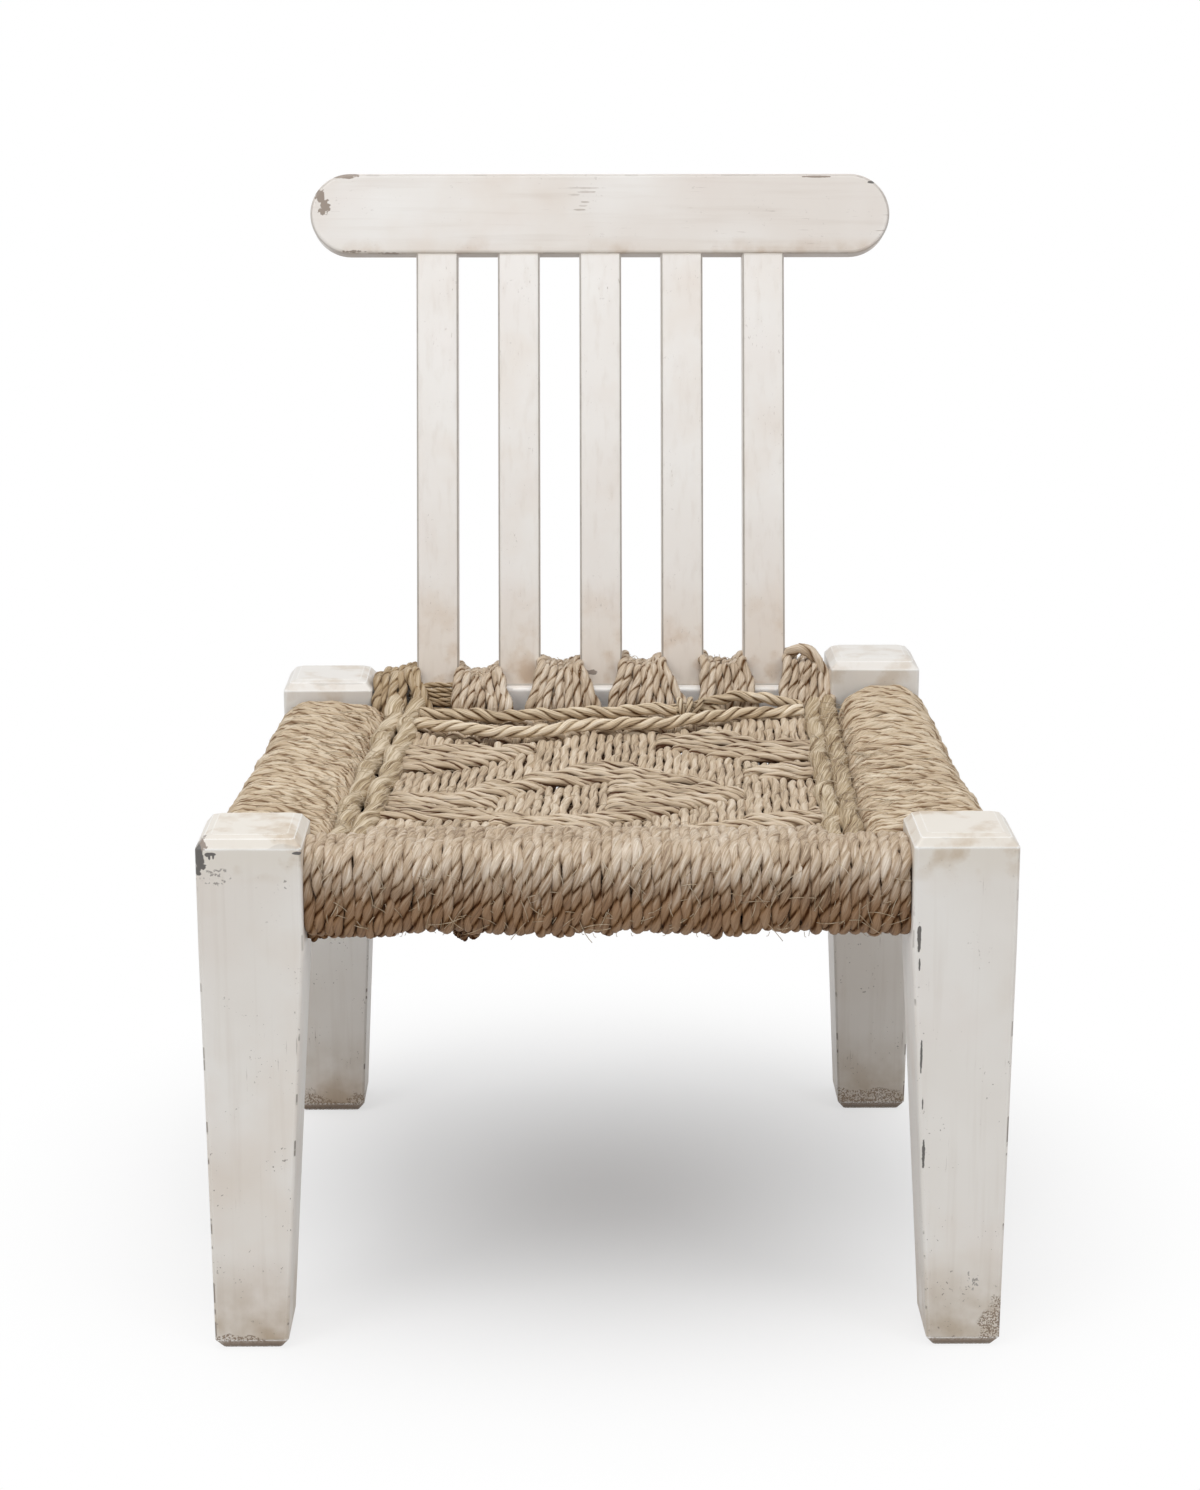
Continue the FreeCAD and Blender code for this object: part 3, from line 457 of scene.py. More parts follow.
def rounded(corners, bends):
    """Points along straight runs joined by arcs, with a bend radius for each inner corner."""
    corners = [np.asarray(corner, float) for corner in corners]
    line = [corners[0]]
    for before, corner, after, bend in zip(corners, corners[1:], corners[2:], bends):
        incoming = (corner - before) / np.linalg.norm(corner - before)
        outgoing = (after - corner) / np.linalg.norm(after - corner)
        turn = math.acos(np.clip(np.dot(incoming, outgoing), -1, 1))
        if turn < 1e-4:
            line.append(corner)
            continue
        reach = bend * math.tan(turn / 2)
        across = (outgoing - incoming * math.cos(turn)) / math.sin(turn)
        for angle in np.linspace(0, 1, 9) * turn:
            line.append(corner - incoming * reach + incoming * bend * math.sin(angle)
                        + across * bend * (1 - math.cos(angle)))
    line.append(corners[-1])
    return np.array(line)


corner = rounded([(0, 0, 0), (50, 0, 0), (50, 50, 0)], [10])
print("a rounded corner has", len(corner), "points")

# %% [markdown]
# ## The woven seat
# One long rope is wound over the front rail, woven through the seat and tied off at the rear.
# Strands that run front to back cross strands that run left to right, and at each crossing one
# lies on top. Where the left-to-right strands are on top they draw nested diamonds, a very old
# pattern. The outlines below say where that is, in millimetres from the middle of the chair
# and from the front of the front legs.

# %% Outlines in the weave
DIAMONDS = [
    [(-8, 294), (22, 290), (48, 262), (80, 240), (104, 212), (100, 190), (62, 160), (30, 128),
     (-12, 104), (-34, 112), (-10, 134), (2, 150), (2, 236), (-34, 232), (-42, 240), (-58, 236),
     (-60, 256)],
    [(-36, 238), (-60, 210), (-76, 194), (-78, 166), (-180, 160), (-180, 196), (-110, 200), (-106, 212),
     (-92, 236), (-62, 246)],
    [(-180, 162), (-120, 160), (-84, 148), (-44, 126), (-8, 122), (0, 100), (-24, 94), (-72, 106),
     (-100, 122), (-180, 132)],
    [(-40, 362), (-58, 322), (-94, 292), (-130, 270), (-180, 264), (-180, 330), (-102, 352)],
    [(40, 386), (44, 342), (80, 318), (112, 304), (190, 300), (190, 344), (130, 352), (100, 386),
     (72, 400)],
    [(104, 262), (118, 288), (190, 294), (190, 262), (134, 250)],
    [(-78, 108), (-44, 88), (-26, 86), (0, 96), (-24, 104)],
    [(44, 98), (92, 92), (130, 100), (190, 146), (190, 176), (132, 142), (96, 120)],
]
COLUMNS, ROWS, FIRST_ROW, ROW_PITCH = 47, 35, 92, 10.2
WEAVE_START, WEAVE_LENGTH = 65, 385.5
rows_y = FIRST_ROW + np.arange(ROWS) * ROW_PITCH
FRONT_CORD = [(-148, 386), (-123, 371), (-86, 352), (-46, 359), (-8, 380), (34, 382), (74, 394),
              (116, 420), (164, 427)]
BACK_CORD = [(-148, 415), (-122, 424), (-86, 403), (-50, 409), (-10, 424), (34, 427), (68, 431),
             (112, 443), (164, 442)]
print(len(DIAMONDS), "outlines")


# %% Where the cross strands lie on top
def seat_edges(y):
    """Left and right edge of the weave at a depth y."""
    share = (y - WEAVE_START) / WEAVE_LENGTH
    return -166.95 + 19.5 * share, 152.45 + 14 * share


def column_x(column, y):
    """Middle of one front-to-back strand at a depth y."""
    left, right = seat_edges(y)
    return left + (column + 0.5) * (right - left) / COLUMNS


def inside(x, y, corners):
    """Whether a point lies inside an outline."""
    hit = False
    for (x1, y1), (x2, y2) in zip(corners, corners[1:] + corners[:1]):
        if (y1 > y) != (y2 > y) and x < x1 + (y - y1) * (x2 - x1) / (y2 - y1):
            hit = not hit
    return hit


def cord_depth(x, spots):
    """Depth y of a cross cord at a place x."""
    return np.interp(x, [spot[0] for spot in spots], [spot[1] for spot in spots])


def cross_above(row, column):
    """Whether the cross strand lies on top where it meets a front-to-back strand."""
    y = rows_y[row]
    x = column_x(column, y)
    edge = cord_depth(x, FRONT_CORD)
    # Behind the front cross cord the weave is plain, and just before it no cross strand shows.
    if y > edge + 4:
        return (row + column // 2) % 2 == 0
    if y > edge - 16:
        return False
    return any(inside(x, y, shape) for shape in DIAMONDS)


cross_on_top = np.array([[cross_above(row, column) for column in range(COLUMNS)] for row in range(ROWS)])
print("cross strands on top at", int(cross_on_top.sum()), "of", cross_on_top.size, "crossings")

# %% [markdown]
# ## Over and under
# A strand rises where it lies on top and dips where it lies below. Simulating that would be slow
# and hard to steer, so the strand's height is a row of ups and downs smoothed by a bell-shaped
# window, as stiff rope smooths its own bends.

# %% Heights of a strand over the crossings it meets
SEAT_TOP = 358.0
STRAND, CROSS = 3.5, 4.2
HOLLOW_START, HOLLOW_END, HOLLOW_DEPTH = 84, 400, 4.0


def sag(y):
    """How far the seat hangs down at a depth, in mm."""
    share = (min(max(y, HOLLOW_START), HOLLOW_END) - HOLLOW_START) / (HOLLOW_END - HOLLOW_START)
    return HOLLOW_DEPTH * max(0.0, math.sin(math.pi * share))


def heights(places, above, spacing, reach, swing, bulge):
    """Smooth heights along a strand that is above or below at each crossing. Long stretches
    above swell by bulge more."""
    fine = np.arange(places[0] - spacing, places[-1] + spacing, 1.0)
    nearest = np.clip(np.round((fine - places[0]) / spacing).astype(int), 0, len(places) - 1)
    rough = np.where(np.asarray(above)[nearest], 1.0, -1.0)
    smooth = []
    for width in (reach, 4 * reach):
        window = np.hanning(int(width) | 1)
        padded = np.pad(rough, len(window) // 2, mode="edge")
        smooth.append(np.convolve(padded, window / window.sum(), mode="valid"))
    return fine, swing * smooth[0] + bulge * np.clip(smooth[1], 0, 1)


print("the seat hangs", sag(242), "mm lower in its middle")

# %% Small holes where strands part
# Each hole in the weave: its x and y, its width, and how far it pushes the strands.
HOLES = [(-39, 224, 9, 2.2), (-29, 168, 8, 3.0), (-92, 219, 6, 2.5), (-60, 300, 6, 2.5),
         (92, 186, 7, 3.0)]


def parted(x, y):
    """How far the strands near a place are pushed aside by the holes, as (across, along)."""
    push_x = push_y = 0
    for hole_x, hole_y, width, most in HOLES:
        dx, dy = x - hole_x, y - hole_y
        near = math.exp(-(dx * dx + dy * dy) / (2 * width ** 2))
        push_x += most * near * math.tanh(dx / 3)
        push_y += most * near * math.tanh(dy / 4)
    return push_x, push_y


MIDDLE = SEAT_TOP - STRAND - 2


def woven_level(y):
    """Height of the middle of the weave at a depth, in mm."""
    return MIDDLE - sag(y)


print(len(HOLES), "holes, and strand middles at about", MIDDLE, "mm above the floor")

# %% [markdown]
# ## Turns round the front rail
# Sixty-one turns of two-yarn rope hide the front rail. All but fourteen come over its top and run
# on into the seat. Each turn is a line round the rail with bent corners, nudged a little by
# chance, and the turns press into each other as real ones do. Sitting has rubbed the top smooth.

# %% Where the turns on the front rail lie
STAND = 3.5
RAIL = {"front": 14 - STAND, "back": 58 + STAND, "bottom": 316 - STAND, "top": 360 + STAND}
left_edge, right_edge = seat_edges(WEAVE_START)
side_turns = [np.linspace(-204.5, left_edge - 3.2, 6), np.linspace(right_edge + 3.2, 204.5, 8)]
turns = sorted([(x, None) for x in np.concatenate(side_turns)]
               + [(column_x(column, WEAVE_START), column) for column in range(COLUMNS)])


def round_rail(depth, height):
    """A function that gives the middle line of a rail across the chair, level with points."""
    def core(points):
        return np.c_[points[:, 0], np.full((len(points), 2), (FRONT + depth * MM, height * MM))]
    return core


def in_thirds(name, ropes, material, node):
    """Three meshes that share out the ropes of one winding, as the solids do."""
    for number in range(3):
        first, last = number * len(ropes) // 3, (number + 1) * len(ropes) // 3
        rope_piece(f"{name}_{number + 1}", ropes[first:last], material, f"{node}_{number + 1}")


print(len(turns), "turns on the front rail")

# %% Wind the front rail and carry most turns on into the seat
TURN_RADIUS = 4.9
round_front_rail = round_rail(36, 338)
wraps, seat_strands = [], []
for x, column in turns:
    low = RAIL["bottom"] - 4.8 + 1.3 * math.sin(x / 19 + 1) + between(-1.3, 0.9)
    lean = 3.4 + between(-0.8, 0.8)
    slip = between(-0.9, 0.9)
    out = RAIL["front"] + between(-0.5, 0.7)
    twist = {"lay": between(25, 33), "plies": 2, "steps": 6, "depth": 0.2, "wander": 1.2,
             "core": round_front_rail, "under_shade": 0.35}
    # A turn goes down behind the rail, under it, up its front and over its top.
    under = [(x + lean, RAIL["back"], 352), (x + lean, RAIL["back"], low),
             (x + slip, out, low), (x - 0.7, out, RAIL["top"])]
    if column is None:
        line = rounded([*under, (x, RAIL["back"], RAIL["top"]), (x, RAIL["back"], 342)],
                       [14, 11, 19.5, 18])
        wraps.append(rub_top(lay_rope(chair(line), TURN_RADIUS, **twist)))
        continue
    spots, lift = heights(rows_y, ~cross_on_top[:, column], ROW_PITCH, 17, 2.6, 0.8)
    edge = cord_depth(column_x(column, 380), FRONT_CORD)
    # A strand ducks under the front cross cord and swells just before it.
    seat = []
    for y, height in zip(spots, lift):
        if y > 76:
            dip = 6.5 * math.exp(-((y - edge) / 6.5) ** 2) - 2.0 * math.exp(-((y - edge + 13) / 6) ** 2)
            x_here = column_x(column, y)
            seat.append((x_here + parted(x_here, y)[0], y, woven_level(y) + height - dip))
    seat += [(seat[-1][0], 456, 347), (seat[-1][0], 468, 342)]
    fold = rounded([*under, (x, 62, RAIL["top"]), (x, 86, SEAT_TOP - 2)], [14, 11, 19.5, 30])
    wraps.append(rub_top(lay_rope(chair(fold), TURN_RADIUS, **twist)))
    strand = lay_rope(chair(seat), STRAND * between(0.9, 1.06), lay=100, plies=2,
                      depth=0.17, wander=1.0, steps=9, swollen=0.16)
    # Seat strands keep only part of the painted shade in their grooves.
    strand["out_of_shade"] = 0.4 + 0.6 * strand["out_of_shade"]
    seat_strands.append(shade_low_parts(strand, woven_level))
for right, side in enumerate((-1, 1)):
    for number in range(4):
        line = [(seat_edges(y)[right] + (number - 0.5) * side * 6.6, y, 345.5 - number)
                for y in range(76, 472, 8)]
        seat_strands.append(lay_rope(chair(line), STRAND, 100, 2, depth=0.17, wander=0.8, steps=6))
in_thirds("front_rail_rope", wraps, jute_wound, "front_rail_wrap")
rope_piece("seat_strands", seat_strands, jute_woven, "woven_panel", slot="jute_weave")

# %% [markdown]
# ## Strands from left to right
# The cross strands make the pattern. They are thicker and looser than those that they cross, so
# they swell where they lie on top for a long way. Their ends go down beside the weave and pass
# under the edge cords.

# %% Weave the cross strands
TUCKED = 343.5
cross_strands = []
for row, y in enumerate(rows_y):
    left, right = seat_edges(y)
    places = np.array([column_x(column, y) for column in range(COLUMNS)])
    spots, lift = heights(places, cross_on_top[row], places[1] - places[0], 13, 2.8, 2.2)
    bow = between(-1.2, 1.2) + 1.4 * np.sin(spots / 40 + row * 1.7)
    line = [(x, y + shift + parted(x, y)[1], woven_level(y) + height)
            for x, shift, height in zip(spots, bow, lift)]
    line = [(left - 27, y, TUCKED), (left - 8, y, TUCKED), *line[3:-3],
            (right + 8, y, TUCKED), (right + 27, y, TUCKED)]
    strand = lay_rope(chair(line), CROSS * between(0.88, 1.06), lay=62, depth=0.3,
                      wander=1.2, steps=6)
    cross_strands.append(shade_low_parts(strand, woven_level))
rope_piece("cross_strands", cross_strands, jute_woven, "woven_panel", slot="jute_weave")

# %% [markdown]
# ## Side bands
# Rope goes round each side rail and reaches inwards to a cord that edges the weave, where it turns
# back below. The turns lie flat and close, so they get a shallow twist and run a little
# forwards on their way in. Towards the rear of the right side they stand higher over the rail.

# %% Where the edge cords and the side rails lie
# Each cord: its middle at the front and at the rear of the seat, how far it sways, where in its
# wave it starts, and its radius.
EDGE_CORDS = {
    "left_outer": (-189.5, -170, 1.5, 0, 8.1), "left_inner": (-173.5, -154, -1.5, 0, 8.2),
    "right_outer": (172.5, 186.5, 0.8, 1, 7.8), "right_inner": (159, 173, -0.8, 1, 7.5),
}


def edge_x(name, y):
    """Middle of an edge cord at a depth y."""
    front, rear = EDGE_CORDS[name][:2]
    return front + (rear - front) * (y - WEAVE_START) / WEAVE_LENGTH


def side_rail_x(y):
    """How far the middle line of a side rail is from the middle of the chair at a depth y."""
    return 250.5 - 17.5 * (y - 75) / 385


def round_side_rail(points):
    """Points on the middle line of a side rail level with the given ones."""
    middle = side_rail_x((points[:, 1] - FRONT) / MM) * MM
    return np.c_[np.sign(points[:, 0]) * middle, points[:, 1], np.full(len(points), 338 * MM)]


print("side rails", 2 * side_rail_x(75), "mm apart at the front, middle to middle")

# %% Bands from the side rails to the edge cords
TURNS, FIRST_TURN, TURN_PITCH = 55, 78.5, 6.95
BOTTOM, HALF = 312.5, 25.5
# A turn goes out under the rail, up round it and over its top, in to the cord and back below.
for word, side in (("left", -1), ("right", 1)):
    ropes = []
    for turn in range(TURNS):
        y = FIRST_TURN + turn * TURN_PITCH
        middle = side_rail_x(y)
        nose = abs(edge_x(f"{word}_outer", y)) + 8.6
        lean = min(20, y - 70) * between(0.85, 1.1)
        far = min(9, (y - 70) * 0.4)
        lift = between(-1.1, 0.7)
        rear = min(1, max(0, (y - 240) / 200))
        if word == "right":
            lift += 11 * rear ** 2 * (3 - 2 * rear)
            middle += 3 * rear
        line = rounded([
            (middle, y, BOTTOM), (middle + HALF, y, BOTTOM), (middle + HALF, y, 363.5 + lift),
            (middle - 12, y, 364 + lift), (nose + 8, y - far, 359.5 + lift), (nose, y - lean, 351),
            (nose, y - lean, 337), (middle - HALF, y, BOTTOM), (middle + 4, y + 2, BOTTOM)],
            [19, 19, 30, 14, 7, 6.5, 15])
        line[:, 0] *= side
        ropes.append(lay_rope(chair(line), 3.8, lay=between(46, 70), depth=0.12, wander=1.3,
                              slant=0.8, core=round_side_rail, under_shade=0.6))
    in_thirds(f"{word}_side_rope", ropes, jute_band, f"{word}_rail_wrap")

# %% [markdown]
# ## Edge cords
# Two thick hairy cords lie along each side of the weave, loosely turned round each other. A
# cord is one two-yarn rope with a long lay on a line that sways slightly. Its twist hardly
# shows, because many loose fibres cover it.

# %% Edge cords beside the weave
for name, (_, _, sway, start, radius) in EDGE_CORDS.items():
    line = []
    for y in np.arange(58, 466, 4.0):
        wave = y * 2 * math.pi / 104 + start
        rise = 6 * max(0, (y - 425) / 36) ** 1.5
        line.append((edge_x(name, y) + sway * math.cos(wave), y, 356 + sway * math.sin(wave) + rise))
    cord = lay_rope(chair(line), radius, 150, 2, depth=0.11, wander=1.1, slant=0.3, steps=16,
                    under_shade=0.5)
    # The edge cords keep only part of the painted shade in their grooves.
    cord["out_of_shade"] = 0.3 + 0.7 * cord["out_of_shade"]
    rope_piece(f"{name}_cord", [cord], jute_hairy, f"{name}_edge_cord", slot="jute_cord")

# %% [markdown]
# ## Bundles on the rear rail
# Between the slats, rope is wound over the rear rail in bundles of seven or eight turns. They
# spread towards the seat and cross over one another, so each turn has its own place on the rail
# and its own foot, and four more turns fill the bundle from below.

# %% Bundles over the rear rail
FRONT_FACE, REAR_FACE, UNDERSIDE = 470.5, 521.5, 324.5
round_rear_rail = round_rail(490, 345)


def band_strand(x, crown, out, front=452.0, radius=3.9):
    """One turn over the rear rail: over its top at x and crown, and down to out in front."""
    bow = between(-1.5, 1.5)
    # It goes up the back of the rail, over its top, down to the seat and back below.
    line = rounded([
        (x, 500, UNDERSIDE), (x, REAR_FACE, UNDERSIDE), (x, REAR_FACE, crown - 2), (x, 478, crown),
        ((x + out) / 2 + bow, (478 + front) / 2 + 2, (crown + 364) / 2), (out, front + 1, 362),
        (out, front, 345), (x, FRONT_FACE, UNDERSIDE), (x, 500, UNDERSIDE)],
        [6.5, 9, 11, 16, 8, 6, 6.5])
    return lay_rope(chair(line), radius + 0.5, lay=between(28, 36), plies=2, depth=0.22,
                    wander=1.1, steps=6, core=round_rear_rail)


# Each bundle: how high it stands, and where each turn crosses the rail and meets the seat.
BUNDLES = {
    2: (384, [(-117.2, -121), (-112.6, -114), (-106.5, -109), (-103, -99.5), (-98, -91.5), (-93.5, -88),
              (-89, -81.5), (-86.5, -75.5)]),
    3: (390.5, [(-49.5, -58), (-45.5, -52.5), (-40, -45), (-34.5, -33.5), (-28.5, -27), (-24, -19),
                (-20.5, -11), (-18.3, -4)]),
    4: (391.5, [(18.8, 9), (24, 15), (31, 24), (36, 33), (40.5, 40), (45, 47.5), (48, 57), (50, 66.5)]),
    5: (392, [(86, 84.5), (91.5, 91), (97.5, 99), (103.5, 106), (109.5, 113), (113.5, 119), (117.5, 126)]),
}
for number, (crown, strands) in BUNDLES.items():
    middle = (strands[0][0] + strands[-1][0]) / 2
    ropes = []
    for top, foot in strands:
        share = (top - middle) / 16
        ropes.append(band_strand(top, crown - 5 * (1 - share ** 2) + between(-0.8, 0.8),
                                 foot, 452 + between(0, 2), 3.3 + 0.6 * abs(share)))
    for turn in range(4):
        share = (turn + 0.5) / 2 - 1
        ropes.append(band_strand(middle + share * 12.5, crown - 9, middle + share * 15, 459, 3.8))
    rope_piece(f"rear_band_{number}", ropes, jute_wound, f"rear_rail_wrap_{number}")

# %% [markdown]
# ## Left end of the rear rail
# Here the rope is tied off in an untidy dusty mass: six turns over the rail, and behind them a
# stack of strands that run sideways past the first slat.

# %% The mass of rope left of the slats
LEFT_TURNS = [(-185.5, -186, 377), (-178.8, -180, 379), (-172, -174, 380), (-165.5, -166, 380.5),
              (-160.5, -150, 383), (-155.5, -142.5, 384)]
ropes = []
for turn, (x, out, crown) in enumerate(LEFT_TURNS):
    ropes.append(band_strand(x, crown, out, 453 + 2 * (turn % 2)))
for turn in range(6):
    low, depth = 375.5 - 3.6 * turn, 469 - 2.2 * turn
    line = [(-158, depth + 6, low), (-150, depth, low), (-138, depth - 1, low + 0.5), (-124, depth, low),
            (-110, depth + 8, low - 1)]
    ropes.append(lay_rope(chair(line), 2.6, wander=0.8))
rope_piece("rear_band_1", ropes, jute_dusty, "rear_rail_wrap_1")

# %% [markdown]
# ## Right end of the rear rail
# At the other end, seven turns stand in a high dome and one thick rope arches over them and down
# to the edge cord, with a little light showing under it.

# %% The bundle and arch right of the slats
RIGHT_TURNS = [(164, 160, 386), (168, 165, 389), (172, 170, 390), (176.5, 175.5, 388.5),
               (182, 182, 383)]
ropes = [band_strand(155, 394, 148.5), band_strand(160.5, 391, 155, radius=3.5)]
for x, out, crown in RIGHT_TURNS:
    ropes.append(band_strand(x, crown, out, 455, 3.4))
arch = [(156, 498, 382), (154, 494, 391), (157, 490, 398.5), (165, 487, 402.5), (174, 485, 400),
        (181, 483, 393), (186, 478, 381), (188.5, 468, 370), (189, 456, 362), (186, 444, 356)]
ropes.append(lay_rope(chair(arch), 5.2, lay=46, plies=2, depth=0.3, wander=0.8, steps=8, under_shade=0.4))
rope_piece("rear_band_6", ropes, jute_wound, "rear_rail_wrap_6")

# %% [markdown]
# ## Cross cords
# Two hard three-yarn cords cross the rear of the seat in soft waves. A wave through a few points
# is best drawn as a NURBS curve, so the cord follows points read from one. The rear cord is
# really two lengths that overlap at the right, tied by three small loops.

# %% Cords across the rear of the seat
def smooth_line(points):
    """Points along a NURBS curve that follows the given points."""
    curve = bpy.data.curves.new("route", "CURVE")
    curve.dimensions = "3D"
    spline = curve.splines.new("NURBS")
    spline.points.add(len(points) - 1)
    spline.points.foreach_set("co", np.c_[points, np.ones(len(points))].ravel())
    spline.order_u = 4
    spline.use_endpoint_u = True
    spline.resolution_u = 10
    route = bpy.data.objects.new("route", curve)
    mesh = bpy.data.meshes.new_from_object(route)
    line = np.array([vertex.co[:] for vertex in mesh.vertices])
    bpy.data.objects.remove(route)
    bpy.data.curves.remove(curve)
    bpy.data.meshes.remove(mesh)
    return line


LIE = 364.05
twist = {"lay": 42, "depth": 0.32, "wander": 1.1, "steps": 6, "under_shade": 0.05}
line = smooth_line(chair([(x, y, LIE) for x, y in FRONT_CORD]))
rope_piece("front_cross_rope", [lay_rope(line, 5.2, hand=-1, **twist)], jute_cord,
           "front_cross_cord", slot="jute_cord")
first = smooth_line(chair([(x, y, LIE) for x, y in BACK_CORD[:7]] + [(84, 434, 363), (96, 438, 361)]))
second = smooth_line(chair([(60, 427, 363), (74, 432, 366.5), (92, 438, 369.5), (116, 447, 371.5),
                            (138, 449, 369), (154, 447, 365.5), (164, 443, 362.5)]))
ropes = [lay_rope(first, 5.3, **twist), lay_rope(second, 4.8, **twist)]
for x, lean in ((65, -2), (71, 1), (77, 4)):
    ring = [(x + lean * math.sin(a), 430.5 + 7.2 * math.cos(a), 365 + 7.2 * math.sin(a))
            for a in np.linspace(-0.6 * math.pi, 1.5 * math.pi, 30)]
    ropes.append(lay_rope(chair(ring), 2.7, wander=0.4, under_shade=0.4))
rope_piece("back_cross_rope", ropes, jute_cord, "back_cross_cord", slot="jute_cord")

# %% [markdown]
# ## Knots
# Two rope ends are tied under the front rail. A small closed curve that crosses itself, wound in
# thin rope, reads as a tight knot and is still a single closed tube.

# %% Knots under the front rail
for name, x in (("middle", -98), ("left", -202)):
    line = [(x, 31, 310), (x + 1, 30.5, 305)]
    for a in np.linspace(0, 2 * math.pi, 40):
        line.append((x + 4.2 * (math.sin(a) + 0.9 * math.sin(2 * a)),
                     30 + 3.0 * (math.cos(a) - 0.9 * math.cos(2 * a)), 301.5 - 3.0 * math.sin(3 * a)))
    rope_piece(f"{name}_knot", [lay_rope(chair(line), 2.8, 14)], jute_wound, f"{name}_rope_knot")

# %% [markdown]
# ## Stray fibres
# Jute sheds. Single fibres and thin curls stand off every rope, most of all where it is worn.
# Hair would be lost in an export, so each fibre is a tiny three-sided tube with few faces. Their
# real width is about 0.1 mm; they are drawn about five times as thick so that they show.

# %% Make one loose fibre
# Stray fibres get a little of the same darkening towards the bottom, as painted shade and browner jute.
stray_jute = make_jute("stray_jute_fibre", "#F0E4D0", "#DCCBB0", "#B9A384", 0.6, shade_and_highlight=0.35)


def stray(spot, way, up, shortest, longest, radius):
    """One loose fibre: it leaves the rope at spot, runs along way and arches out along up."""
    length = between(shortest, longest)
    way, up = np.array(way, float), np.array(up, float)
    side = np.cross(way, up)
    curl = between(-0.5, 0.5)
    lift = between(1.2, 2.2)
    shares = np.linspace(0, 1, 7)[:, None]
    line = (np.array(spot, float) + way * length * shares + side * curl * length * shares ** 2
            + up * (lift * np.sin(shares * 2.6) - 1))
    return lay_rope(chair(line), radius, 11, 1, depth=0, wander=0.2, steps=3)


print(stray_jute.name, "is ready")

# %% Fibres on the front rail
fibres = []
for count in range(160):
    angle = chance.normal(math.pi / 2 - 0.4, 0.9)
    spot = (between(-200, 200), 6.8, 310 + 42 * between(0, 1) ** 1.4)
    fibres.append(stray(spot, (math.cos(angle), 0, math.sin(angle)), (0, -1, 0), 6, 22, 0.3))
for count in range(70):
    spot = (between(-200, 200), between(12, 40), 305)
    way = (between(-0.8, 0.8), between(-0.6, 0.2), -0.5)
    fibres.append(stray(spot, way, (0, 0, -1), 2, 5, 0.22))
rope_piece("front_stray_fibres", fibres, stray_jute)

# %% Fibres on the seat
UP = (0, 0, 1)
fibres = []
for name in EDGE_CORDS:
    for count in range(45):
        y = between(70, 455)
        angle = chance.normal(math.pi / 2, 0.5)
        spot = (edge_x(name, y) + between(-7, 7), y, 362)
        fibres.append(stray(spot, (math.cos(angle), math.sin(angle), 0), UP, 10, 30, 0.22))
for count in range(150):
    y = between(90, 380)
    angle = chance.normal(0, 0.5)
    spot = (between(-150, 150), y, woven_level(y) + 6)
    fibres.append(stray(spot, (math.cos(angle), math.sin(angle), 0), UP, 8, 22, 0.22))
for side in (-1, 1):
    for count in range(120):
        y = between(80, 440)
        angle = chance.normal(0.25, 0.35)
        spot = (side * between(192, 262), y, 366)
        way = (-side * math.cos(angle), -math.sin(angle), 0)
        fibres.append(stray(spot, way, UP, 8, 26, 0.26))
rope_piece("seat_stray_fibres", fibres, stray_jute)

# %% Fibres on the rear rail
fibres = []
for middle, top in ((-170, 384), (-102, 387), (-34, 394), (34, 395), (102, 396), (170, 392)):
    for count in range(16):
        spot = (middle + between(-17, 17), between(476, 512), top - 5)
        way = (between(-0.7, 0.7), between(-0.8, 0.2), between(-0.2, 0.5))
        fibres.append(stray(spot, way, UP, 4, 13, 0.26))
rope_piece("rear_stray_fibres", fibres, stray_jute)

# %% [markdown]
# ## Painted wood
# The frame is hardwood under white paint that has been rubbed through at the edges and has
# soaked up grime at the feet. Most wear is scattered, but some chips are landmarks: a dark corner
# on the left front leg, bare patches on the round end of the top rail, flakes along the right
# front leg. Each is listed with its place and given a ragged outline in the material, so the
# wood itself stays untouched.

# %% Where the paint is damaged
def marks_at(y, *ovals, depth=16):
    """Marks at one depth y: the x, z, half width and half height of each, in mm as above."""
    return [(x, y, z, width, depth, height) for x, z, width, height in ovals]


BARE_SPOTS = [
    *marks_at(590, (-233.5, 767.7, 4.2, 6.2), (-230.5, 758.2, 4.7, 5.8), (-215.7, 783.9, 13.5, 2.3),
              (-204.6, 722.8, 16, 1.6), (180.9, 783.1, 11.7, 0.8), (-175.7, 720.9, 17.6, 1.7)),
    *marks_at(3, (-275.8, 372.6, 3.8, 4.3)),
    *marks_at(500, (-8.9, 382.4, 6.3, 2.6), depth=20),
]
DARK_SPOTS = [
    *marks_at(3, (-278.7, 361.7, 4.4, 9.3), (-271.6, 366.4, 1.7, 1.5), (-268.6, 366.8, 2.6, 1),
              (-270.3, 364.4, 0.7, 1.6), (-267.6, 365, 0.6, 1.9), (-211, 367.2, 3.4, 1.1)),
    *marks_at(8, (212.6, 306.4, 1.3, 10.5), (213.3, 286.6, 0.7, 4.4)),
    *marks_at(10, (216.4, 219.4, 0.8, 13.9)),
    *marks_at(12, (218.3, 184.7, 0.6, 6), (220, 147.7, 1.1, 11.8)),
    *marks_at(590, (227, 778.6, 2.8, 1)),
]
SPECKLED = [
    *marks_at(3, (-265.3, 350.7, 9, 5.3), (-220, 345.3, 3.6, 3.6)),
    *marks_at(16, (256.7, 49.5, 5.2, 7.7)),
]
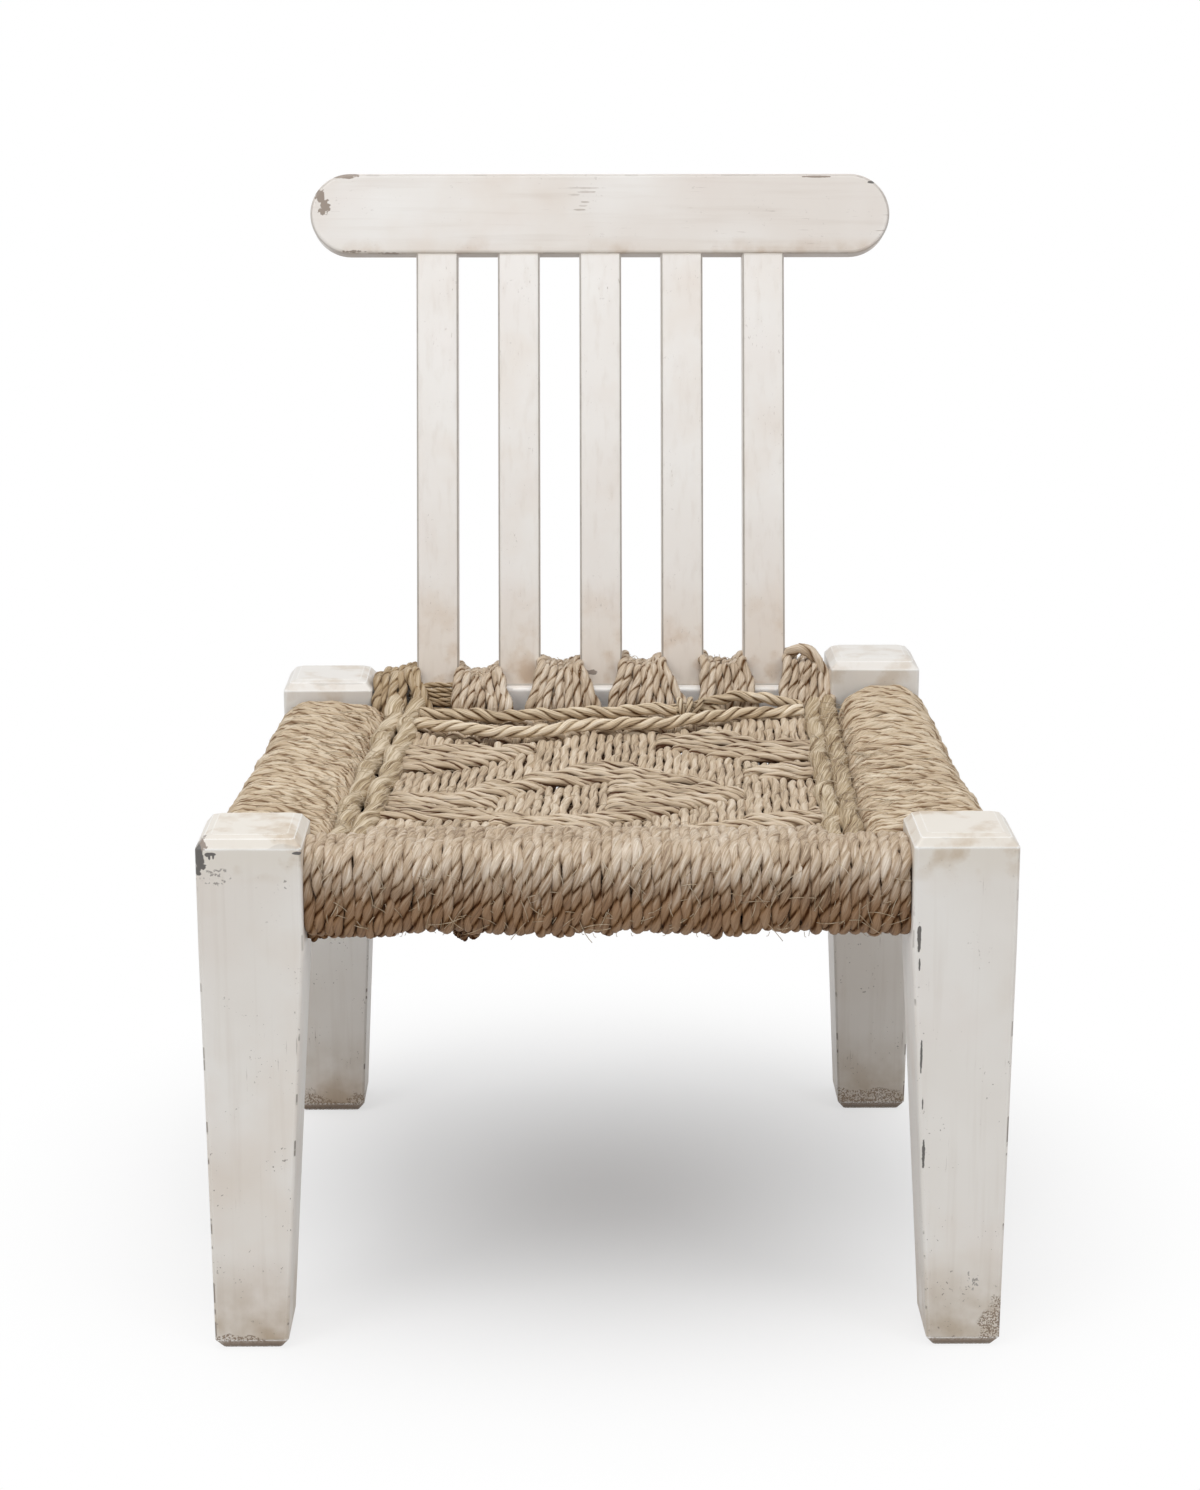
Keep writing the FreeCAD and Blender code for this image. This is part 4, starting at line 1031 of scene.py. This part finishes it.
SCRATCHED = marks_at(590, (-16.6, 774, 17.3, 0.7), (-11.7, 770.9, 7.5, 0.7), (-22.1, 768.5, 5, 0.7),
                     (-12.5, 762.6, 3.7, 0.7), (-14.2, 759.7, 3.7, 0.7), (-16.6, 756.4, 6.2, 0.7))
SPRAYED = [
    *marks_at(20, (276.2, 12.2, 12, 24), depth=60),
    *marks_at(20, (245.1, -0.1, 22, 7), (-251.8, 1.1, 34, 9), depth=40),
    *marks_at(462, (232.1, 5.4, 36, 14), (-228.1, 4.4, 36, 12), depth=40),
]
print(len(BARE_SPOTS + DARK_SPOTS + SPECKLED + SCRATCHED + SPRAYED), "marks on the paint")


# %% Draw one mark
def spots_mask(tree, place, ragged, spots):
    """A mask that is 1 inside ovals at the given places, large ones more ragged than thin ones."""
    mask = 0.0
    for x, y, z, *sizes in spots:
        centre = (x * MM, y * MM + FRONT, z * MM)
        from_middle = add(tree, "VectorMath", (place, centre), operation="SUBTRACT")
        shares = add(tree, "VectorMath", (from_middle, [1 / (size * MM) for size in sizes]),
                     operation="MULTIPLY")
        reach = add(tree, "VectorMath", (shares,), operation="LENGTH").outputs["Value"]
        jag = 3.0 if min(sizes) > 3 else 1.3
        rough = add(tree, "Math", (ragged, jag, reach), operation="MULTIPLY_ADD")
        oval = add(tree, "MapRange", (rough, 1.12 + jag / 2, 1 + jag / 2))
        mask = add(tree, "Math", (mask, oval), operation="MAXIMUM")
    return mask


MARKS = {
    "speckled": ("blotch", SPECKLED), "scratched": ("ragged", SCRATCHED),
    "bare": ("ragged", BARE_SPOTS), "dark": ("ragged", DARK_SPOTS), "sprayed": ("blotch", SPRAYED),
}
print(len(MARKS), "kinds of mark")

# %% [markdown]
# ## What the paint is made of
# The white is brushed-on chalky enamel over hardwood, dull and slightly uneven. It could be one
# colour with a noise, but old paint gets its look from many faint things on top of each other,
# so the tables below list them one by one: the patterns and their sizes, what share of each
# pattern shows, and the colours that are laid on in turn.

# %% List the patterns and the layers
# Patterns: how many to the metre, and how much fine detail. Clouds are about 140 mm across,
# warm stains 90, faint pink 105, blotches 26, ragged chip edges 4, and specks 2.4 mm. Dust is
# really 0.3 mm and is drawn 1.2 mm wide so that it shows.
PATTERNS = {"cloud": (7, 3), "warm": (11, 4), "pink": (9.5, 2), "blotch": (38, 4), "ragged": (260, 3),
            "speck": (420, 2), "dust": (820, 2)}
# Masks: what they read, where it starts and where it is full, and their least and most.
MASKS = {
    "cloudy": ("cloud", 0.38, 0.62, 0, 1), "warmed": ("warm", 0.52, 0.72, 0, 0.3),
    "pinkish": ("pink", 0.56, 0.7, 0, 0.1), "brushed": ("grain", 0.52, 0.74, 0, 0.25),
    "lined": ("thin", 0.68, 0.74, 0, 1), "patchy": ("blotch", 0.5, 0.62, 0, 0.7),
    "smudged": ("blotch", 0.5, 0.66, 0, 0.9), "foot": ("height", 0.075, 0.0, 0, 0.9),
    # The rim at the very bottom of the feet is grime and painted contact shadow.
    "grimy": ("blotch", 0.35, 0.62, 0.25, 1), "rim": ("height", 0.009, 0.003, 0, 0.9),
    # arris: sharp edges, where the painted highlight goes.
    "arris": ("match", 0.990, 0.970, 0, 1), "kept": ("cloud", 0.34, 0.42, 0, 1),
    "corner": ("corner", 0.12, 0.2, 0, 1), "low": ("height", 0.34, 0.16, 0.25, 1),
    "dotted": ("speck", 0.685, 0.70, 0, 0.7), "few": ("blotch", 0.52, 0.56, 0, 1),
    "sprayed_on": ("dust", 0.46, 0.54, 0, 0.9), "broken": ("speck", 0.57, 0.61, 0, 0.8),
    "underside": ("up", -0.75, -0.9, 0, 0.75), "rough": ("cloud", 0.35, 0.65, 0.36, 0.5),
    "brushed_out": ("thin", 0.42, 0.58, 0.2, 1), "chipped": ("dash", 0.58, 0.61, 0, 0.85),
}
# Layers over the two whites: colour, how it is laid on, and the masks that limit it.
LAYERS = [
    ("#EAD9C8", "MULTIPLY", "warmed"), ("#F6E6E4", "MULTIPLY", "pinkish"),
    ("#E2DBD4", "MULTIPLY", "brushed"), ("#A79C92", "MIX", "lined patchy"),
    ("zone", "zone", "zone"), ("smudge", "MULTIPLY", "zone smudged"),
    # Grime on the feet, then grime and painted contact shadow at their very bottom.
    ("#C0AE94", "MULTIPLY", "foot grimy"), ("#8A7765", "MULTIPLY", "rim"),
    # The edge layer is a painted highlight where the edge colour is white.
    ("edge", "MIX", "arris kept"), ("#756B61", "MIX", "corner chipped low"),
    # Painted shade along the rounded arrises.
    ("#8D8379", "MIX", "corner outlined"), ("#7A6F65", "MIX", "dotted few low"),
    ("#9B8D82", "MIX", "underside"), ("#8E8780", "MIX", "speckled broken"),
    ("#B9AFA6", "MIX", "scratched brushed_out"), ("#7F6A55", "MIX", "sprayed sprayed_on"),
    ("#93867B", "MIX", "bare"), ("#65615D", "MIX", "dark"),
]
print(len(LAYERS), "layers of paint, dirt and wear")


# %% Make the paint
def make_paint(name, light, dark, streaks, zone, edge="#FFFEFC", outlined=0.0):
    """Old white paint over hardwood: faint brush streaks, warm stains, sharp arrises in the edge
    colour, which is a painted highlight where it is white, chips down to bare wood, grimy feet,
    and a dark band at their very bottom that is grime and painted contact shadow. streaks counts
    the brush streaks per metre along each axis. zone is a height where the paint differs, a height
    where it no longer does, its colour there, how that is laid on, and the colour of the smudges
    on it. The last number says how dark the painted shade along the rounded arrises is."""
    paint, tree = new_material(name)
    place = add(tree, "TexCoord").outputs["Object"]
    read = {}
    stretched = {"grain": streaks, "thin": [4 * count for count in streaks],
                 "dash": [55 if count == min(streaks) else 15 for count in streaks]}
    for label in (*PATTERNS, *stretched):
        count, detail = PATTERNS.get(label, (1, 3))
        spread = add(tree, "Mapping", {"Vector": place, "Scale": stretched.get(label, (1, 1, 1))})
        read[label] = add(tree, "TexNoise", {"Vector": spread, "Scale": count, "Detail": detail})
    normal = add(tree, "NewGeometry").outputs["Normal"]
    facing = add(tree, "SeparateXYZ", (normal,)).outputs
    square = add(tree, "Math", (facing["Y"], facing["Y"]), operation="MULTIPLY")
    fourth = add(tree, "Math", (square, square), operation="MULTIPLY")
    eased = add(tree, "Bevel", {"Radius": 3.4 * MM}, samples=8)
    match = add(tree, "VectorMath", (eased, normal), operation="DOT_PRODUCT")
    read["up"] = facing["Z"]
    read["corner"] = add(tree, "Math", (square, fourth), operation="SUBTRACT")
    read["height"] = add(tree, "SeparateXYZ", (place,)).outputs["Z"]
    read["match"] = match.outputs["Value"]
    full, none, zone_colour, zone_blend, smudge_colour = zone
    share = {"outlined": outlined}
    for label, (pattern, spots) in MARKS.items():
        share[label] = spots_mask(tree, place, read[pattern], spots)
    for label, (source, *limits) in {**MASKS, "zone": ("height", none, full, 0, 0.85)}.items():
        share[label] = add(tree, "MapRange", (read[source], *limits))
    colour = add(tree, "Mix", {0: share["cloudy"], 6: shade(dark), 7: shade(light)}, data_type="RGBA")
    for code, blend, limits in LAYERS:
        code = {"zone": zone_colour, "smudge": smudge_colour, "edge": edge}.get(code, code)
        blend = zone_blend if blend == "zone" else blend
        first, *others = [share[label] for label in limits.split()]
        for other in others:
            first = add(tree, "Math", (first, other), operation="MULTIPLY")
        colour = add(tree, "Mix", {0: first, 6: colour.outputs[2], 7: shade(code)},
                     data_type="RGBA", blend_type=blend)
    soft = add(tree, "Bevel", {"Radius": 1.6 * MM}, samples=6)
    bump = add(tree, "Bump", {"Height": read["grain"], "Normal": soft, "Strength": 0.12,
                              "Distance": 0.001})
    surface = add(tree, "BsdfPrincipled", {"Base Color": colour.outputs[2],
                                           "Roughness": share["rough"], "Normal": bump})
    add(tree, "OutputMaterial", (surface,))
    return paint


print("the paint reads", len(PATTERNS) + 3, "patterns")

# %% Paint the frame
FRONT_HEAD = (0.362, 0.345, "#E2DBD0", "MIX", "#DCCCB8")
REAR_HEAD = (0.362, 0.345, "#E8E4DE", "MIX", "#E8DFD4")
SLAT_FOOT = (0.372, 0.46, "#F5EDE3", "MULTIPLY", "#DCC7AE")
PAINTS = {
    # The rear rail's paint is the whitest, as painted light against the shade it stands in.
    "rear_rail": make_paint("brightened_white_rail_paint", "#FFFEFC", "#FAF7F3", (7, 90, 170),
                            (0.372, 0.355, "#FFFFFF", "MULTIPLY", "#FBF4EC")),
    # The crest and the slats get painted shade along their rounded arrises.
    "crest_rail": make_paint("worn_white_crest_paint", "#E6E3DF", "#DDD6CF", (9, 60, 170),
                             (0.717, 0.735, "#F3EDE6", "MULTIPLY", "#D9C6B2"), outlined=0.35),
    "back_slat": make_paint("worn_white_slat_paint", "#EEEBE7", "#E8E2DC", (170, 170, 7), SLAT_FOOT,
                            edge="#D3CBC2", outlined=0.7),
    "front_": make_paint("worn_white_leg_paint", "#EBE7E1", "#E4DED6", (150, 150, 6), FRONT_HEAD),
    # The rear legs' paint is darker than the front legs', as grime and as painted shade under the seat.
    "rear_": make_paint("grimy_and_shaded_white_paint", "#E2DED8", "#D6CFC6", (150, 150, 6), REAR_HEAD),
}
# Names of what is rope, or hidden under it.
COVERED = ("wrap", "cord", "panel", "knot", "front_rail", "left_rail", "right_rail")
WOOD = [node for node in frame["nodes"] if not any(word in node for word in COVERED)]
for node in WOOD:
    paint = next(paint for start, paint in PAINTS.items() if node.startswith(start))
    for slot in frame["nodes"][node].material_slots:
        slot.material = paint
print(len(WOOD), "pieces painted")

# %% [markdown]
# ## Bare wood
# Rope hides the front and side rails, so they were never painted. Only dark unfinished hardwood
# shows between turns, made darker still as painted shade in the gaps: grain lines 3 mm apart
# along the rail, coarser than real pores so that they show, and no gloss.

# %% Bare wood under the rope
bare, tree = new_material("shaded_bare_hardwood")
place = add(tree, "TexCoord").outputs["Object"]
long_way = add(tree, "Mapping", {"Vector": place, "Scale": (40, 40, 300)})
grain = add(tree, "TexNoise", {"Vector": long_way, "Scale": 1.0, "Detail": 3.0})
# Dark, as painted shade in the gaps between the turns.
tone = add(tree, "ValToRGB", (grain,))
darkest, palest = tone.color_ramp.elements
darkest.color, palest.color = shade("#3A2A1C"), shade("#6B5138")
surface = add(tree, "BsdfPrincipled", {"Base Color": tone, "Roughness": 0.7})
add(tree, "OutputMaterial", (surface,))
for node in ("front_rail", "left_rail", "right_rail"):
    for slot in frame["nodes"][node].material_slots:
        slot.material = bare
print("three rails left bare")
